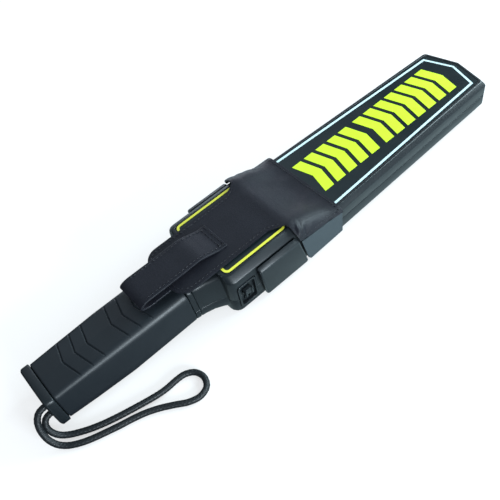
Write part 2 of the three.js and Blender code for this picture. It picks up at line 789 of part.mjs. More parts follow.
const beyond = totalLength / 2 + OVERRUN;
const halfSpace = (low, high) => alongZ(rectangle(-beyond, beyond, -beyond, beyond), low, high);
const shellHull = cut(join(paddleSkin(), housingSkin(), neckSkin(), spigot()), ...shellHollows());
const shellBody = cut(join(shellHull, ...shellBosses()), ...shellCuts());
addPiece("lower_shell", shellBody.intersect(solid(halfSpace(-OVERRUN, PARTING_HEIGHT))), blackPlastic);
addPiece("upper_shell", shellBody.intersect(solid(halfSpace(PARTING_HEIGHT, beyond))), blackPlastic);

screwSpots.forEach(({ x, y, base }, i) => {
  const seat = base + SCREW_RECESS - FILM_GAP;
  const head = rod([x, y, seat - SCREW_HEAD_HEIGHT], [x, y, seat], SCREW_HEAD_RADIUS, 16);
  const shank = rod([x, y, seat - FILM_GAP], [x, y, PARTING_HEIGHT + SCREW_RISE], SCREW_RADIUS, 12);
  addPiece(`housing_screw_${i + 1}`, join(head, shank), steel);
});

// Grip, end cap and wrist cord

function gripSleeve() {
  const rings = gripSwellShares.map((share) =>
    ringAtX(xGrip + (GRIP_LENGTH - SEAT_GAP) * share.along, swellSection(share, 0)),
  );
  const bore = alongX(
    rectangle(-boreHalf, boreHalf, BORE_FLOOR, boreTop),
    xGrip - OVERRUN,
    xNeck + OVERRUN,
  );
  const starts = Array.from({ length: 2 * CHEVRON_GROUP }, (_, i) => {
    const group = Math.floor(i / CHEVRON_GROUP);
    return CHEVRON_FIRST + i * CHEVRON_PITCH + group * (CHEVRON_GROUP_GAP - CHEVRON_PITCH);
  });
  const grooves = starts.map((start) => {
    const floor = gripTopAt(start / GRIP_LENGTH) - CHEVRON_DEPTH;
    const outline = chevron(xGrip + start, CHEVRON_HALF_SPAN, CHEVRON_SWEEP, CHEVRON_WIDTH);
    return plate(outline, floor, floor + OVERRUN);
  });
  return cut(loft(rings), bore, ...grooves);
}
addPiece("grip_sleeve", gripSleeve(), gripRubber);

const grommetOutline = (grow) =>
  rounded(
    rectangle(
      -GROMMET_OFFSET - GROMMET_WIDTH / 2 - grow,
      -GROMMET_OFFSET + GROMMET_WIDTH / 2 + grow,
      GROMMET_LOW - grow,
      GROMMET_HIGH + grow,
    ),
    GROMMET_CORNER,
    4,
  );

function endCap() {
  const [rearShare] = gripSwellShares;
  const skin = loft([
    ringAtX(xEnd, swellSection(rearShare, CAP_PROUD - CAP_EDGE)),
    ringAtX(xEnd + CAP_EDGE, swellSection(rearShare, CAP_PROUD)),
    ringAtX(xGrip - CAP_SEAM, swellSection(rearShare, CAP_PROUD)),
  ]);
  const plugSection = (inset) =>
    rectangle(-boreHalf + inset, boreHalf - inset, BORE_FLOOR + inset, boreTop - inset);
  const plug = alongX(plugSection(SEAT_GAP), xEnd + GROMMET_DEPTH, xGrip + PLUG_LENGTH);
  const hollow = alongX(
    plugSection(SEAT_GAP + PLUG_WALL),
    xEnd + GROMMET_DEPTH + SEAT_GAP + PLUG_WALL,
    xGrip + PLUG_LENGTH + OVERRUN,
  );
  const grommetBed = alongX(grommetOutline(SEAT_GAP), xEnd - OVERRUN, xEnd + GROMMET_DEPTH + SEAT_GAP);
  return cut(join(skin, plug), hollow, grommetBed);
}
addPiece("end_cap", endCap(), blackPlastic);
addPiece("cord_grommet", alongX(grommetOutline(0), xEnd, xEnd + GROMMET_DEPTH), gripRubber);

// The cord's route, from its upper hole round the loop and back to its lower hole
const cordRoute = [
  [xEnd - SEAT_GAP, -12.8, 25.4],
  [-209.3, -12.8, 25.4],
  [-213.2, -13.1, 24.4],
  [-216.6, -14.6, 21.4],
  [-218.7, -17, 17.2],
  [-219.5, -20, 12.4],
  [-219, -23.4, 7.9],
  [-216.8, -27.2, 4.4],
  [-212.9, -30.9, 2.7],
  [-208.3, -34, 2.4],
  [-202.4, -37, 2.4],
  [-196, -39.4, 2.4],
  [-189, -41.6, 2.4],
  [-181, -44, 2.4],
  [-172.6, -46.2, 2.4],
  [-164.2, -48.9, 2.4],
  [-155.8, -52.8, 2.4],
  [-147.2, -58, 2.4],
  [-139.4, -63, 2.4],
  [-131.4, -65.2, 2.4],
  [-124.6, -62.8, 2.4],
  [-121.7, -56.4, 2.4],
  [-123.7, -49.8, 2.4],
  [-129.4, -45.9, 2.4],
  [-136.6, -45.1, 2.4],
  [-143.6, -45.3, 2.4],
  [-151.2, -44.6, 2.4],
  [-170.6, -40.3, 2.4],
  [-179.4, -38, 2.4],
  [-187.6, -35.5, 2.4],
  [-195.2, -32.6, 2.4],
  [-202, -29.3, 2.4],
  [-207.8, -26, 2.7],
  [-212, -23.2, 4.2],
  [-214.7, -20.4, 7.1],
  [-215.7, -17.5, 10.6],
  [-214.8, -15, 13.4],
  [-212.4, -13.3, 15.1],
  [-209.3, -12.8, 15.6],
  [xEnd - SEAT_GAP, -12.8, 15.6],
];
addPiece("wrist_cord", tube(cordRoute, CORD_DIAMETER / 2, CORD_SIDES, CORD_STEPS), cordWeave);

// Labels, their printed lines and marks

addPiece(
  "paddle_label",
  alongZ(paddleOutline(xLabel + SEAT_GAP, LABEL_INSET + SEAT_GAP), labelFloor + FILM_GAP, labelTop),
  labelFilm,
);
const printed = (outline, top) => plate(outline, top + FILM_GAP, top + FILM_GAP + PRINT_THICKNESS);

/** A printed line of even width that follows a closed outline. */
function printedLine(outline, width, top) {
  const outside = insetOutline(outline, -width / 2);
  const inside = insetOutline(outline, width / 2);
  const hole = alongZ(inside, top - OVERRUN, top + OVERRUN);
  return cut(printed(outside, top), hole);
}
const borderTipHalf = PADDLE_TIP_WIDTH / 2 - BORDER_TIP_EDGE_GAP;
const borderStart = xLabel + BORDER_WIDTH;
const borderStartHalf = paddleHalfAt(borderStart) - BORDER_EDGE_GAP;
const borderOutline = [
  [borderStart, -borderStartHalf],
  [xTipCorner - BORDER_TIP_GAP, -borderTipHalf],
  [xTip - BORDER_TIP_GAP, 0],
  [xTipCorner - BORDER_TIP_GAP, borderTipHalf],
  [borderStart, borderStartHalf],
];
addPiece("label_border", printedLine(borderOutline, BORDER_WIDTH, labelTop), paleInk);
const firstMark = xLabel + MARK_START;
const lastMark = xTip - MARK_TIP_GAP;
const markPitch = (lastMark - firstMark - MARK_GROUP_GAP) / (MARK_COUNT - 1);
for (let i = 0; i < MARK_COUNT; i++) {
  const groupGap = i < MARK_GROUP ? 0 : MARK_GROUP_GAP;
  const tail = firstMark + i * markPitch + groupGap;
  const outline = chevron(tail + MARK_SWEEP, MARK_SPAN / 2, -MARK_SWEEP, markPitch * MARK_FILL);
  addPiece(`label_mark_${i + 1}`, printed(outline, labelTop), limeInk);
}

const panelFilm = alongZ(panelOutline(SEAT_GAP), panelFloor + FILM_GAP, panelTop);
addPiece("panel_label", cut(panelFilm, ...panelHoles), labelFilm);
const panelLineInset = SEAT_GAP + PANEL_BORDER_MARGIN + PANEL_BORDER_WIDTH / 2;
const panelLine = printedLine(panelOutline(panelLineInset), PANEL_BORDER_WIDTH, panelTop);
addPiece("panel_border", panelLine, yellowInk);
lampSpots.forEach((x, i) => {
  const lens = rod([x, 0, panelTop - LAMP_HEIGHT], [x, 0, panelTop], LAMP_RADIUS, 16);
  addPiece(`lamp_lens_${i + 1}`, lens, material(lampColours[i % lampColours.length], 0.25));
});

// Side pads and the slide switch

const padHigh = HOUSING_HEIGHT - PAD_TOP_DROP;

/** A pad's outline on the housing's side, as [x, z]. */
const padOutline = (insets) =>
  rounded(
    insetOutline(
      [
        [xHousing + PAD_REAR, PAD_LOW],
        [xPaddle - PAD_FRONT, PAD_LOW],
        [xPaddle - PAD_FRONT - PAD_FRONT_LEAN, padHigh],
        [xHousing + PAD_REAR - PAD_REAR_LEAN, padHigh],
      ],
      insets,
    ),
    PAD_CORNER,
    2,
  );

/** A pad from its back face out to its proud face, on the side given by a sign. */
function padSkin(side, back) {
  const face = housingHalf + PAD_PROUD;
  return loft([
    ringAtY(side * back, padOutline(0)),
    ringAtY(side * (face - PAD_EDGE), padOutline([0, 0, PAD_TOP_CHAMFER - PAD_EDGE, 0])),
    ringAtY(side * face, padOutline([PAD_EDGE, PAD_EDGE, PAD_TOP_CHAMFER, PAD_EDGE])),
  ]);
}
const padBack = housingHalf + PAD_TRAVEL + SEAT_GAP;
const tactFace = boardHalf + TACT_PLUNGER;
const pressStem = rod(
  [stemX, -tactFace - PAD_TRAVEL - SEAT_GAP, stemHeight],
  [stemX, -padBack - FILM_GAP, stemHeight],
  STEM_RADIUS,
);
addPiece("sensitivity_button", join(padSkin(-1, padBack), pressStem), blackPlastic);
addPiece("side_pad", padSkin(1, housingHalf + FILM_GAP), blackPlastic);
const tactLow = boardTop + FILM_GAP;
const tactBody = alongY(
  rectangle(stemX - TACT_SIZE / 2, stemX + TACT_SIZE / 2, tactLow, tactLow + TACT_SIZE),
  -boardHalf + TACT_DEPTH,
  -boardHalf,
);
const tactPlunger = rod(
  [stemX, -boardHalf + FILM_GAP, stemHeight],
  [stemX, -tactFace, stemHeight],
  TACT_SIZE / 4,
  12,
);
addPiece("button_switch", join(tactBody, tactPlunger), steel);

const bezelPlate = alongY(bezelOutline(0), -bezelFloorY - FILM_GAP, -housingHalf - BEZEL_PROUD);
const bezelWindow = alongY(bezelOutline(-BEZEL_RIM), -bezelFloorY + FILM_GAP, -housingHalf - OVERRUN);
addPiece("switch_bezel", cut(bezelPlate, bezelWindow), blackPlastic);

/** The knob: a saddle between two thumb ridges, on a square stem through the slot. */
function slideKnob() {
  const face = -housingHalf - BEZEL_PROUD - KNOB_PROUD;
  const atKnob = (halfX, halfZ, y0, y1) =>
    alongY(
      rectangle(switchX - halfX, switchX + halfX, KNOB_CENTRE_HEIGHT - halfZ, KNOB_CENTRE_HEIGHT + halfZ),
      y0,
      y1,
    );
  const head = atKnob(KNOB_LENGTH / 2, KNOB_HEIGHT / 2, -bezelFloorY - SEAT_GAP, face);
  const stemHalf = KNOB_STEM_WIDTH / 2;
  const stem = atKnob(stemHalf, stemHalf, -cavityHalf, -bezelFloorY - SEAT_GAP - FILM_GAP);
  const saddle = atKnob(KNOB_LENGTH / 2 - KNOB_RIDGE, OVERRUN, face + KNOB_NOTCH_DEPTH, face - OVERRUN);
  return cut(join(head, stem), saddle);
}
addPiece("slide_switch_knob", slideKnob(), blackPlastic);
const switchBodyFace = -cavityHalf + SEAT_GAP;
addPiece(
  "slide_switch_body",
  alongY(
    rectangle(
      switchX - SWITCH_BODY_LENGTH / 2,
      switchX + SWITCH_BODY_LENGTH / 2,
      boardTop + FILM_GAP,
      boardTop + FILM_GAP + SWITCH_BODY_HEIGHT,
    ),
    switchBodyFace + SWITCH_BODY_DEPTH,
    switchBodyFace,
  ),
  steel,
);
const socketFace = -bezelFloorY - SOCKET_PROUD;
const socketBarrel = rod(
  [switchX, socketFace + SOCKET_LENGTH, SOCKET_HEIGHT],
  [switchX, socketFace, SOCKET_HEIGHT],
  SOCKET_RADIUS,
  16,
);
const socketBore = rod(
  [switchX, socketFace + SOCKET_LENGTH - SOCKET_WALL, SOCKET_HEIGHT],
  [switchX, socketFace - OVERRUN, SOCKET_HEIGHT],
  SOCKET_BORE_RADIUS,
  12,
);
addPiece("earphone_socket", cut(socketBarrel, socketBore), blackPlastic);

// Electronics in the housing

const bossHole = ({ x, y }) => rod([x, y, -OVERRUN], [x, y, beyond], BOSS_NECK_RADIUS + SEAT_GAP, 16);
const boardScrews = screwSpots.filter(({ base }) => base === 0);
const paddleScrews = screwSpots.filter(({ base }) => base > 0);
const board = alongZ(rectangle(boardStart, boardEnd, -boardHalf, boardHalf), BOARD_HEIGHT, boardTop);
addPiece("circuit_board", cut(board, ...boardScrews.map(bossHole)), boardGreen);
const speakerTop = housingCeiling - FILM_GAP;
addPiece(
  "speaker",
  rod([speakerX, 0, speakerTop - SPEAKER_HEIGHT], [speakerX, 0, speakerTop], speakerRadius),
  steel,
);

// Search coils in the paddle

const formerStart = xPaddle + FORMER_START;
const coilStart = xPaddle + COIL_START;
const formerInset = SHELL_WALL + PARTING_GROOVE_DEPTH + SEAT_GAP;
const formerTop = FORMER_HEIGHT + FORMER_THICKNESS;
const formerPlate = alongZ(paddleOutline(formerStart, formerInset), FORMER_HEIGHT, formerTop);
const windowStart = xPaddle + FORMER_WINDOW_START;
const formerWindow = alongZ(
  rectangle(
    windowStart,
    xTip - TIP_SCREW_FROM_TIP - FORMER_WINDOW_TIP_GAP,
    -FORMER_WINDOW_WIDTH / 2,
    FORMER_WINDOW_WIDTH / 2,
  ),
  FORMER_HEIGHT - OVERRUN,
  formerTop + OVERRUN,
);
addPiece("coil_former", cut(formerPlate, formerWindow, ...paddleScrews.map(bossHole)), whitePlastic);

/** A flat winding on the former, a given distance in from the former's edge. */
function winding(inset) {
  const low = formerTop + FILM_GAP;
  const outline = (depth, rootRadius) =>
    paddleOutline(coilStart, formerInset + inset + depth, inset + depth, rootRadius);
  const outside = alongZ(outline(0, COIL_CORNER), low, low + COIL_HEIGHT);
  const inside = alongZ(outline(COIL_WIDTH, COIL_CORNER - COIL_WIDTH), low - OVERRUN, low + OVERRUN);
  return cut(outside, inside);
}
addPiece("transmit_coil", winding(COIL_MARGIN), copper);
addPiece("receive_coil", winding(COIL_MARGIN + COIL_SPACING), copper);

// Battery, tray, clip, lead and motor in the grip

const trayStart = xGrip + PLUG_LENGTH + SEAT_GAP;
const trayEnd = xNeck - SPIGOT_LENGTH - SEAT_GAP;
const trayLow = BORE_FLOOR + SEAT_GAP;
const trayFloor = trayLow + TRAY_WALL;
const trayHalf = boreHalf - SEAT_GAP;
const trayBlock = alongX(
  rectangle(-trayHalf, trayHalf, trayLow, trayLow + TRAY_HEIGHT),
  trayStart,
  trayEnd,
);
const trayRoom = alongX(
  rectangle(-trayHalf + TRAY_WALL, trayHalf - TRAY_WALL, trayFloor, trayFloor + OVERRUN),
  trayStart - OVERRUN,
  trayEnd + OVERRUN,
);
addPiece("battery_tray", cut(trayBlock, trayRoom), blackPlastic);
const batteryLow = trayFloor + FILM_GAP;
const batteryStart = trayStart + SEAT_GAP;
const batteryEnd = batteryStart + BATTERY_LENGTH;
const batterySection = rectangle(
  -BATTERY_WIDTH / 2,
  BATTERY_WIDTH / 2,
  batteryLow,
  batteryLow + BATTERY_HEIGHT,
);
addPiece("battery", alongX(batterySection, batteryStart, batteryEnd), batteryCase);
const clipStart = batteryEnd + FILM_GAP;
const clipEnd = clipStart + CLIP_LENGTH;
addPiece("battery_clip", alongX(batterySection, clipStart, clipEnd), blackPlastic);
const motorHeight = batteryLow + MOTOR_RADIUS;
const motorStart = clipEnd + SEAT_GAP;
addPiece(
  "vibration_motor",
  rod(
    [motorStart, -MOTOR_OFFSET, motorHeight],
    [motorStart + MOTOR_LENGTH, -MOTOR_OFFSET, motorHeight],
    MOTOR_RADIUS,
  ),
  steel,
);
const leadHeight = BOARD_HEIGHT + BOARD_THICKNESS / 2;
const leadStart = clipEnd + SEAT_GAP;
const leadEnd = boardStart - SEAT_GAP;
const leadShares = [0, 0.12, 0.3, 0.55, 0.8, 1];
const leadRiseShares = [1, 1, 0.7, 0.2, 0, 0];
const leadRoute = leadShares.map((share, i) => [
  THREE.MathUtils.lerp(leadStart, leadEnd, share),
  LEAD_OFFSET,
  leadHeight + LEAD_RISE * leadRiseShares[i],
]);
addPiece("battery_lead", tube(leadRoute, LEAD_RADIUS, LEAD_SIDES, LEAD_STEPS), copper);

// Belt holster

const holsterRear = xPaddle - HOLSTER_REAR;
const holsterFront = xPaddle + HOLSTER_FRONT;
const tongueBed = Math.max(HOUSING_HEIGHT, GRIP_HEIGHT + GRIP_CROWN);

/** The holster's inner section, clear of the ramp and the paddle. */
function holsterInside(x) {
  const half = paddleHalfAt(Math.max(x, xPaddle)) + SEAT_GAP;
  const down = THREE.MathUtils.clamp((x - xRamp) / RAMP_LENGTH, 0, 1);
  const top = THREE.MathUtils.lerp(tongueBed, paddleTop, down) + SEAT_GAP;
  const drop = THREE.MathUtils.lerp(HOLSTER_DROP_REAR, HOLSTER_DROP_FRONT, down);
  const topHalf = half - THREE.MathUtils.lerp(HOLSTER_TOP_INSET, HOLSTER_FRONT_INSET, down);
  const bottom = PADDLE_LIFT - SEAT_GAP;
  return [
    [-half, bottom],
    [half, bottom],
    [half, top - drop],
    [topHalf, top],
    [-topHalf, top],
    [-half, top - drop],
  ];
}

/** The sleeve round the paddle's root, its rear edge leaning back towards the top. */
function holsterSleeve() {
  const stations = [holsterRear, xRamp, xRampEnd, holsterFront];
  const walls = [-BAND_THICKNESS, -LEATHER, -LEATHER, -LEATHER, -LEATHER, -LEATHER];
  const outer = stations.map((x) => ringAtX(x, insetOutline(holsterInside(x), walls)));
  const inner = stations.map((x) => ringAtX(x, holsterInside(x)));
  const rearEnd = ringAtX(holsterRear - OVERRUN, holsterInside(holsterRear));
  const frontEnd = ringAtX(holsterFront + OVERRUN, holsterInside(holsterFront));
  const behind = holsterRear - OVERRUN;
  const clearOfHousing = xPaddle + SEAT_GAP;
  const leanTop = tongueBed + LEATHER + SEAT_GAP;
  const rearCut = [
    [behind, -OVERRUN],
    [clearOfHousing, -OVERRUN],
    [clearOfHousing, PADDLE_LIFT + BOTTOM_BEVEL],
    [holsterRear, leanTop],
    [holsterRear, leanTop + OVERRUN],
    [behind, leanTop + OVERRUN],
  ];
  return cut(loft(outer), loft([rearEnd, ...inner, frontEnd]), alongY(rearCut, beyond, -beyond));
}

/** All that lies above the leather flap's lower edge, raised by a given amount. */
function aboveFlap(raise) {
  const high = beyond;
  const region = (z) => rectangle(-beyond, beyond, z + raise, high);
  return loft([
    ringAtX(holsterRear - SEAT_GAP, region(FLAP_REAR)),
    ringAtX(holsterFront + SEAT_GAP, region(FLAP_FRONT)),
  ]);
}
const tongueLow = tongueBed + SEAT_GAP;
const tongueTop = tongueLow + LEATHER;
const tongueEnd = xRamp - TONGUE_LENGTH;
const rootHalf = TONGUE_ROOT_WIDTH / 2;
const tongueHalf = TONGUE_WIDTH / 2;
const tongueOutline = rounded(
  [
    [tongueEnd, -tongueHalf],
    [holsterRear - TONGUE_FLARE, -tongueHalf],
    [holsterRear, -rootHalf],
    [xRamp, -rootHalf],
    [xRamp, rootHalf],
    [holsterRear, rootHalf],
    [holsterRear - TONGUE_FLARE, tongueHalf],
    [tongueEnd, tongueHalf],
  ],
  [TONGUE_RADIUS, 0, 0, 0, 0, 0, 0, TONGUE_RADIUS],
  6,
);
const sleeve = holsterSleeve();
const cover = join(sleeve.intersect(solid(aboveFlap(0))), plate(tongueOutline, tongueLow, tongueTop));
addPiece("holster_cover", cover, leather, holster);
addPiece("holster_band", cut(sleeve, aboveFlap(-SEAT_GAP)), elastic, holster);

/** The belt strap's centre line in [x, z], from its stitched end round the fold. */
function strapLine() {
  const low = tongueTop + FILM_GAP + LEATHER / 2;
  const high = tongueTop + BELT_GAP + LEATHER / 2;
  const under = tongueLow + LEATHER / 2;
  const stitchEnd = xRamp - STRAP_STITCH;
  const riseStart = stitchEnd - STRAP_STITCH_LENGTH;
  const riseSteps = 6;
  const rise = Array.from({ length: riseSteps + 1 }, (_, k) => {
    const share = k / riseSteps;
    const climb = THREE.MathUtils.smoothstep(share, 0, 1);
    return [riseStart - STRAP_RISE_RUN * share, THREE.MathUtils.lerp(low, high, climb)];
  });
  const radius = (high - under) / 2;
  const foldX = tongueEnd - STRAP_OVERHANG + radius;
  const foldSteps = 8;
  const fold = Array.from({ length: foldSteps + 1 }, (_, k) => {
    const angle = (Math.PI * k) / foldSteps;
    return [foldX - radius * Math.sin(angle), under + radius + radius * Math.cos(angle)];
  });
  return [[stitchEnd, low], ...rise, ...fold, [tongueEnd - SEAT_GAP, under]];
}

/** A strip of even thickness along an open line. */
function stripOutline(line, thickness) {
  const sides = line.map(([u, v], i) => {
    const [before, after] = [line[Math.max(i - 1, 0)], line[Math.min(i + 1, line.length - 1)]];
    const along = new THREE.Vector2(after[0] - before[0], after[1] - before[1]).setLength(thickness / 2);
    return { left: [u - along.y, v + along.x], right: [u + along.y, v - along.x] };
  });
  return [...sides.map(({ left }) => left), ...sides.map(({ right }) => right).reverse()];
}
const strap = new THREE.ExtrudeGeometry(shapeOf(stripOutline(strapLine(), LEATHER)), {
  depth: STRAP_WIDTH,
  bevelEnabled: false,
})
  .rotateX(Math.PI / 2)
  .translate(0, STRAP_WIDTH / 2, 0);
addPiece("belt_loop", strap, leather, holster);

export default wand;
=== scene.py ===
import math

import bmesh
import bpy
import numpy as np
from mathutils import Matrix, Vector


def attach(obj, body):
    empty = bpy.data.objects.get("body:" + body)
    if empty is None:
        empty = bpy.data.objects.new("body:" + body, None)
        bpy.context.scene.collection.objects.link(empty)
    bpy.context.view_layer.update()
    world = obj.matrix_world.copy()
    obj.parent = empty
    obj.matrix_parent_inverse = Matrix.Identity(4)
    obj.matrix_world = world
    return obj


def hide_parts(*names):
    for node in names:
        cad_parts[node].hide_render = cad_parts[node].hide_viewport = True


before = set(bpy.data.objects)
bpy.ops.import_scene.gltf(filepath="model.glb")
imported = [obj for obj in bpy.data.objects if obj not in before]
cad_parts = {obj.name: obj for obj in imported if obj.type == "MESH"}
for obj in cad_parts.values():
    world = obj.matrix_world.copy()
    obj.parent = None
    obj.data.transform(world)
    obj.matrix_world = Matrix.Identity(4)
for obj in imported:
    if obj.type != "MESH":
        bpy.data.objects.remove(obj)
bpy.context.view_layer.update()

# Sizes in metres
MM = 0.001
PADDLE_START = -8 * MM
PADDLE_TIP_CORNER = 200.3 * MM
PADDLE_ROOT_HALF = 38.6 * MM
PADDLE_TIP_HALF = 32.1 * MM
PADDLE_TOP = 26.5 * MM
HOUSING_TOP = 38.5 * MM
RAMP_START = -14 * MM
RAMP_LENGTH = 28 * MM
SEAT_GAP = 0.3 * MM

LEATHER = 1.5 * MM
HOLSTER_REAR = -15 * MM
HOLSTER_FRONT = 26 * MM
SHOULDER_DROP = (5.2 * MM, 0.8 * MM)
SHOULDER_RUN = (8.2 * MM, 3 * MM)
FLAP_EDGE = (30 * MM, 24 * MM)
FLAP_REAR = -17.8 * MM
BAND_REAR = -7.2 * MM
BAND_BOTTOM = 1.7 * MM
BAND_THICKNESS = 1.1 * MM
BAND_OFF = 0.75 * MM
BAND_CORNER = 2.2 * MM
BAND_LEAN = 7.3 * MM
BAND_FOOT_LEAN = 2.2 * MM
TONGUE_END = -104 * MM
TONGUE_HALF = 23 * MM
TONGUE_RADIUS = 12 * MM
TONGUE_BEND = TONGUE_END + TONGUE_RADIUS
HIDE_LIFT = SEAT_GAP + 0.8 * MM
HIDE_MARGIN = 0.8 * MM
FLAP_OFF = 0.8 * MM
FLAP_FLARE = 0.9 * MM
FLAP_TURN = FLAP_REAR + 2 * MM
LIP_WIDTH = 4.5 * MM
LIP_OUT = 0.7 * MM

SEAM_INSET = 2.4 * MM
STITCH_PITCH = 3.1 * MM
STITCH_LENGTH = 2.2 * MM
STITCH_GIRTH = 0.5 * MM
STITCH_SINK = 0.1 * MM
STITCH_BOW = 0.3 * MM

STRAP_HALF_WIDTH = 12.5 * MM
STRAP_SEAM_INSET = 2.2 * MM
STRAP_SEAM_RUN = 66 * MM
STRAP_ROOT_SEAMS = (-57.6 * MM, -60.6 * MM)
STRAP_FRONT = -56 * MM
STRAP_REAR = -127.2 * MM
STRAP_LOW = 41.25 * MM
STRAP_HIGH = 45.8 * MM
STRAP_UNDER = 39.6 * MM
STRAP_FOLD = 7.6 * MM
STRAP_BEND = 0.25 * MM

CORD_DIAMETER = 4.5 * MM
CORD_STRANDS = 4
BRAID_PITCH = 2.6 * MM
BRAID_LOW = 0.93
BRAID_RISE = 0.07

# Points nearer than this are one point
WELD = 1e-6

# The camera fitted to the photograph; the sensor and the lens are in millimetres
CAMERA_PLACE = (-0.17591, -0.24239, 0.36666)
CAMERA_FORWARD = (0.3108, 0.5246, -0.7926)
CAMERA_RIGHT = (0.7441, -0.6531, -0.1406)
CAMERA_SENSOR = 36
CAMERA_LENS = 44.64
CAMERA_RANGE = (0.01, 50)


def scene_camera():
    """The photograph's camera: its place, the way it looks, and how far it is turned about that way."""
    place = Vector(CAMERA_PLACE)
    forward = Vector(CAMERA_FORWARD).normalized()
    right = Vector(CAMERA_RIGHT).normalized()
    up = right.cross(forward)
    lens = bpy.data.cameras.new("camera")
    lens.sensor_width = CAMERA_SENSOR
    lens.lens = CAMERA_LENS
    lens.clip_start, lens.clip_end = CAMERA_RANGE
    camera = bpy.data.objects.new("camera", lens)
    bpy.context.scene.collection.objects.link(camera)
    turn = Matrix((right, up, -forward)).transposed()
    camera.matrix_world = Matrix.Translation(place) @ turn.to_4x4()
    bpy.context.scene.camera = camera


# Meshes from arrays


def add_object(name, mesh):
    """An object that holds a mesh, at the origin."""
    piece = bpy.data.objects.new(name, mesh)
    bpy.context.scene.collection.objects.link(piece)
    return piece


def grid_faces(rows, columns, ring=False):
    """The quads between rows and columns of points, as point numbers; a ring closes each row."""
    index = np.arange(rows * columns).reshape(rows, columns)
    if ring:
        index = np.concatenate([index, index[:, :1]], axis=1)
    return np.stack([index[:-1, :-1], index[1:, :-1], index[1:, 1:], index[:-1, 1:]], axis=-1)


def grid_mesh(name, points, uv=None, ring=False):
    """A mesh of quads over rows and columns of points; a ring closes each row on itself.

    On a ring the map gets one more column, a whole turn past the first.
    """
    faces = grid_faces(*points.shape[:2], ring).reshape(-1, 4)
    mesh = bpy.data.meshes.new(name)
    mesh.from_pydata(points.reshape(-1, 3).tolist(), [], faces.tolist())
    if uv is not None:
        layer = mesh.uv_layers.new(name="UVMap")
        if ring:
            uv = np.concatenate([uv, uv[:, :1] + (0, 1)], axis=1)
        order = grid_faces(*uv.shape[:2]).reshape(-1)
        layer.data.foreach_set("uv", uv.reshape(-1, 2)[order].ravel())
    mesh.shade_smooth()
    return mesh


def weld(mesh):
    """Merges points that lie in one place, then turns the faces outwards."""
    shape = bmesh.new()
    shape.from_mesh(mesh)
    bmesh.ops.remove_doubles(shape, verts=shape.verts, dist=WELD)
    bmesh.ops.recalc_face_normals(shape, faces=shape.faces)
    shape.to_mesh(mesh)
    shape.free()


def cap_ends(mesh, rows, columns):
    """Closes the first and last ring of a tube with one flat face each."""
    shape = bmesh.new()
    shape.from_mesh(mesh)
    shape.verts.ensure_lookup_table()
    for start in (0, (rows - 1) * columns):
        ring = [shape.verts[start + i] for i in range(columns)]
        shape.faces.new(ring)
    bmesh.ops.recalc_face_normals(shape, faces=shape.faces)
    shape.to_mesh(mesh)
    shape.free()


def spline(points, samples):
    """Points along a smooth curve through the given ones: a centripetal spline, evenly spaced by length."""
    given = np.asarray(points, float)
    padded = np.concatenate([[2 * given[0] - given[1]], given, [2 * given[-1] - given[-2]]])
    spans = np.maximum(np.linalg.norm(np.diff(padded, axis=0), axis=1) ** 0.5, 1e-6)[:, None]
    p0, p1, p2, p3 = padded[:-3], padded[1:-2], padded[2:-1], padded[3:]
    t0, t1, t2 = spans[:-2], spans[1:-1], spans[2:]
    start = ((p1 - p0) / t0 - (p2 - p0) / (t0 + t1) + (p2 - p1) / t1) * t1
    end = ((p2 - p1) / t1 - (p3 - p1) / (t1 + t2) + (p3 - p2) / t2) * t1
    t = np.linspace(0, 1, 40, endpoint=False)[None, :, None]
    curve = (
        (2 * t**3 - 3 * t**2 + 1) * p1[:, None]
        + (t**3 - 2 * t**2 + t) * start[:, None]
        + (3 * t**2 - 2 * t**3) * p2[:, None]
        + (t**3 - t**2) * end[:, None]
    )
    fine = np.concatenate([curve.reshape(-1, given.shape[1]), given[-1:]])
    length = run_along(fine)
    even = np.linspace(0, length[-1], samples)
    return np.stack([np.interp(even, length, fine[:, k]) for k in range(given.shape[1])], axis=1)


def unit(vectors):
    """The same directions, each one long."""
    return vectors / np.linalg.norm(vectors, axis=-1, keepdims=True)


def run_along(path):
    """The length run from the start of a path to each of its points."""
    return np.concatenate([[0], np.cumsum(np.linalg.norm(np.diff(path, axis=0), axis=1))])


def path_sides(path):
    """Two side directions at each point of a path, square to it and carried along without twist."""
    along = unit(np.gradient(path, axis=0))
    side = np.zeros_like(along)
    side[0] = unit(np.cross(along[0], (0, 0, 1)))
    for i in range(1, len(path)):
        side[i] = unit(side[i - 1] - along[i] * side[i - 1].dot(along[i]))
    return side, np.cross(along, side)


def finish(piece, body, slot, *nodes):
    """Lets a piece ride on a body and stand for solid nodes; the slot it is given is not used."""
    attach(piece, body)
    if nodes:
        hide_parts(*nodes)
    return piece


# Shader groups shared by the materials


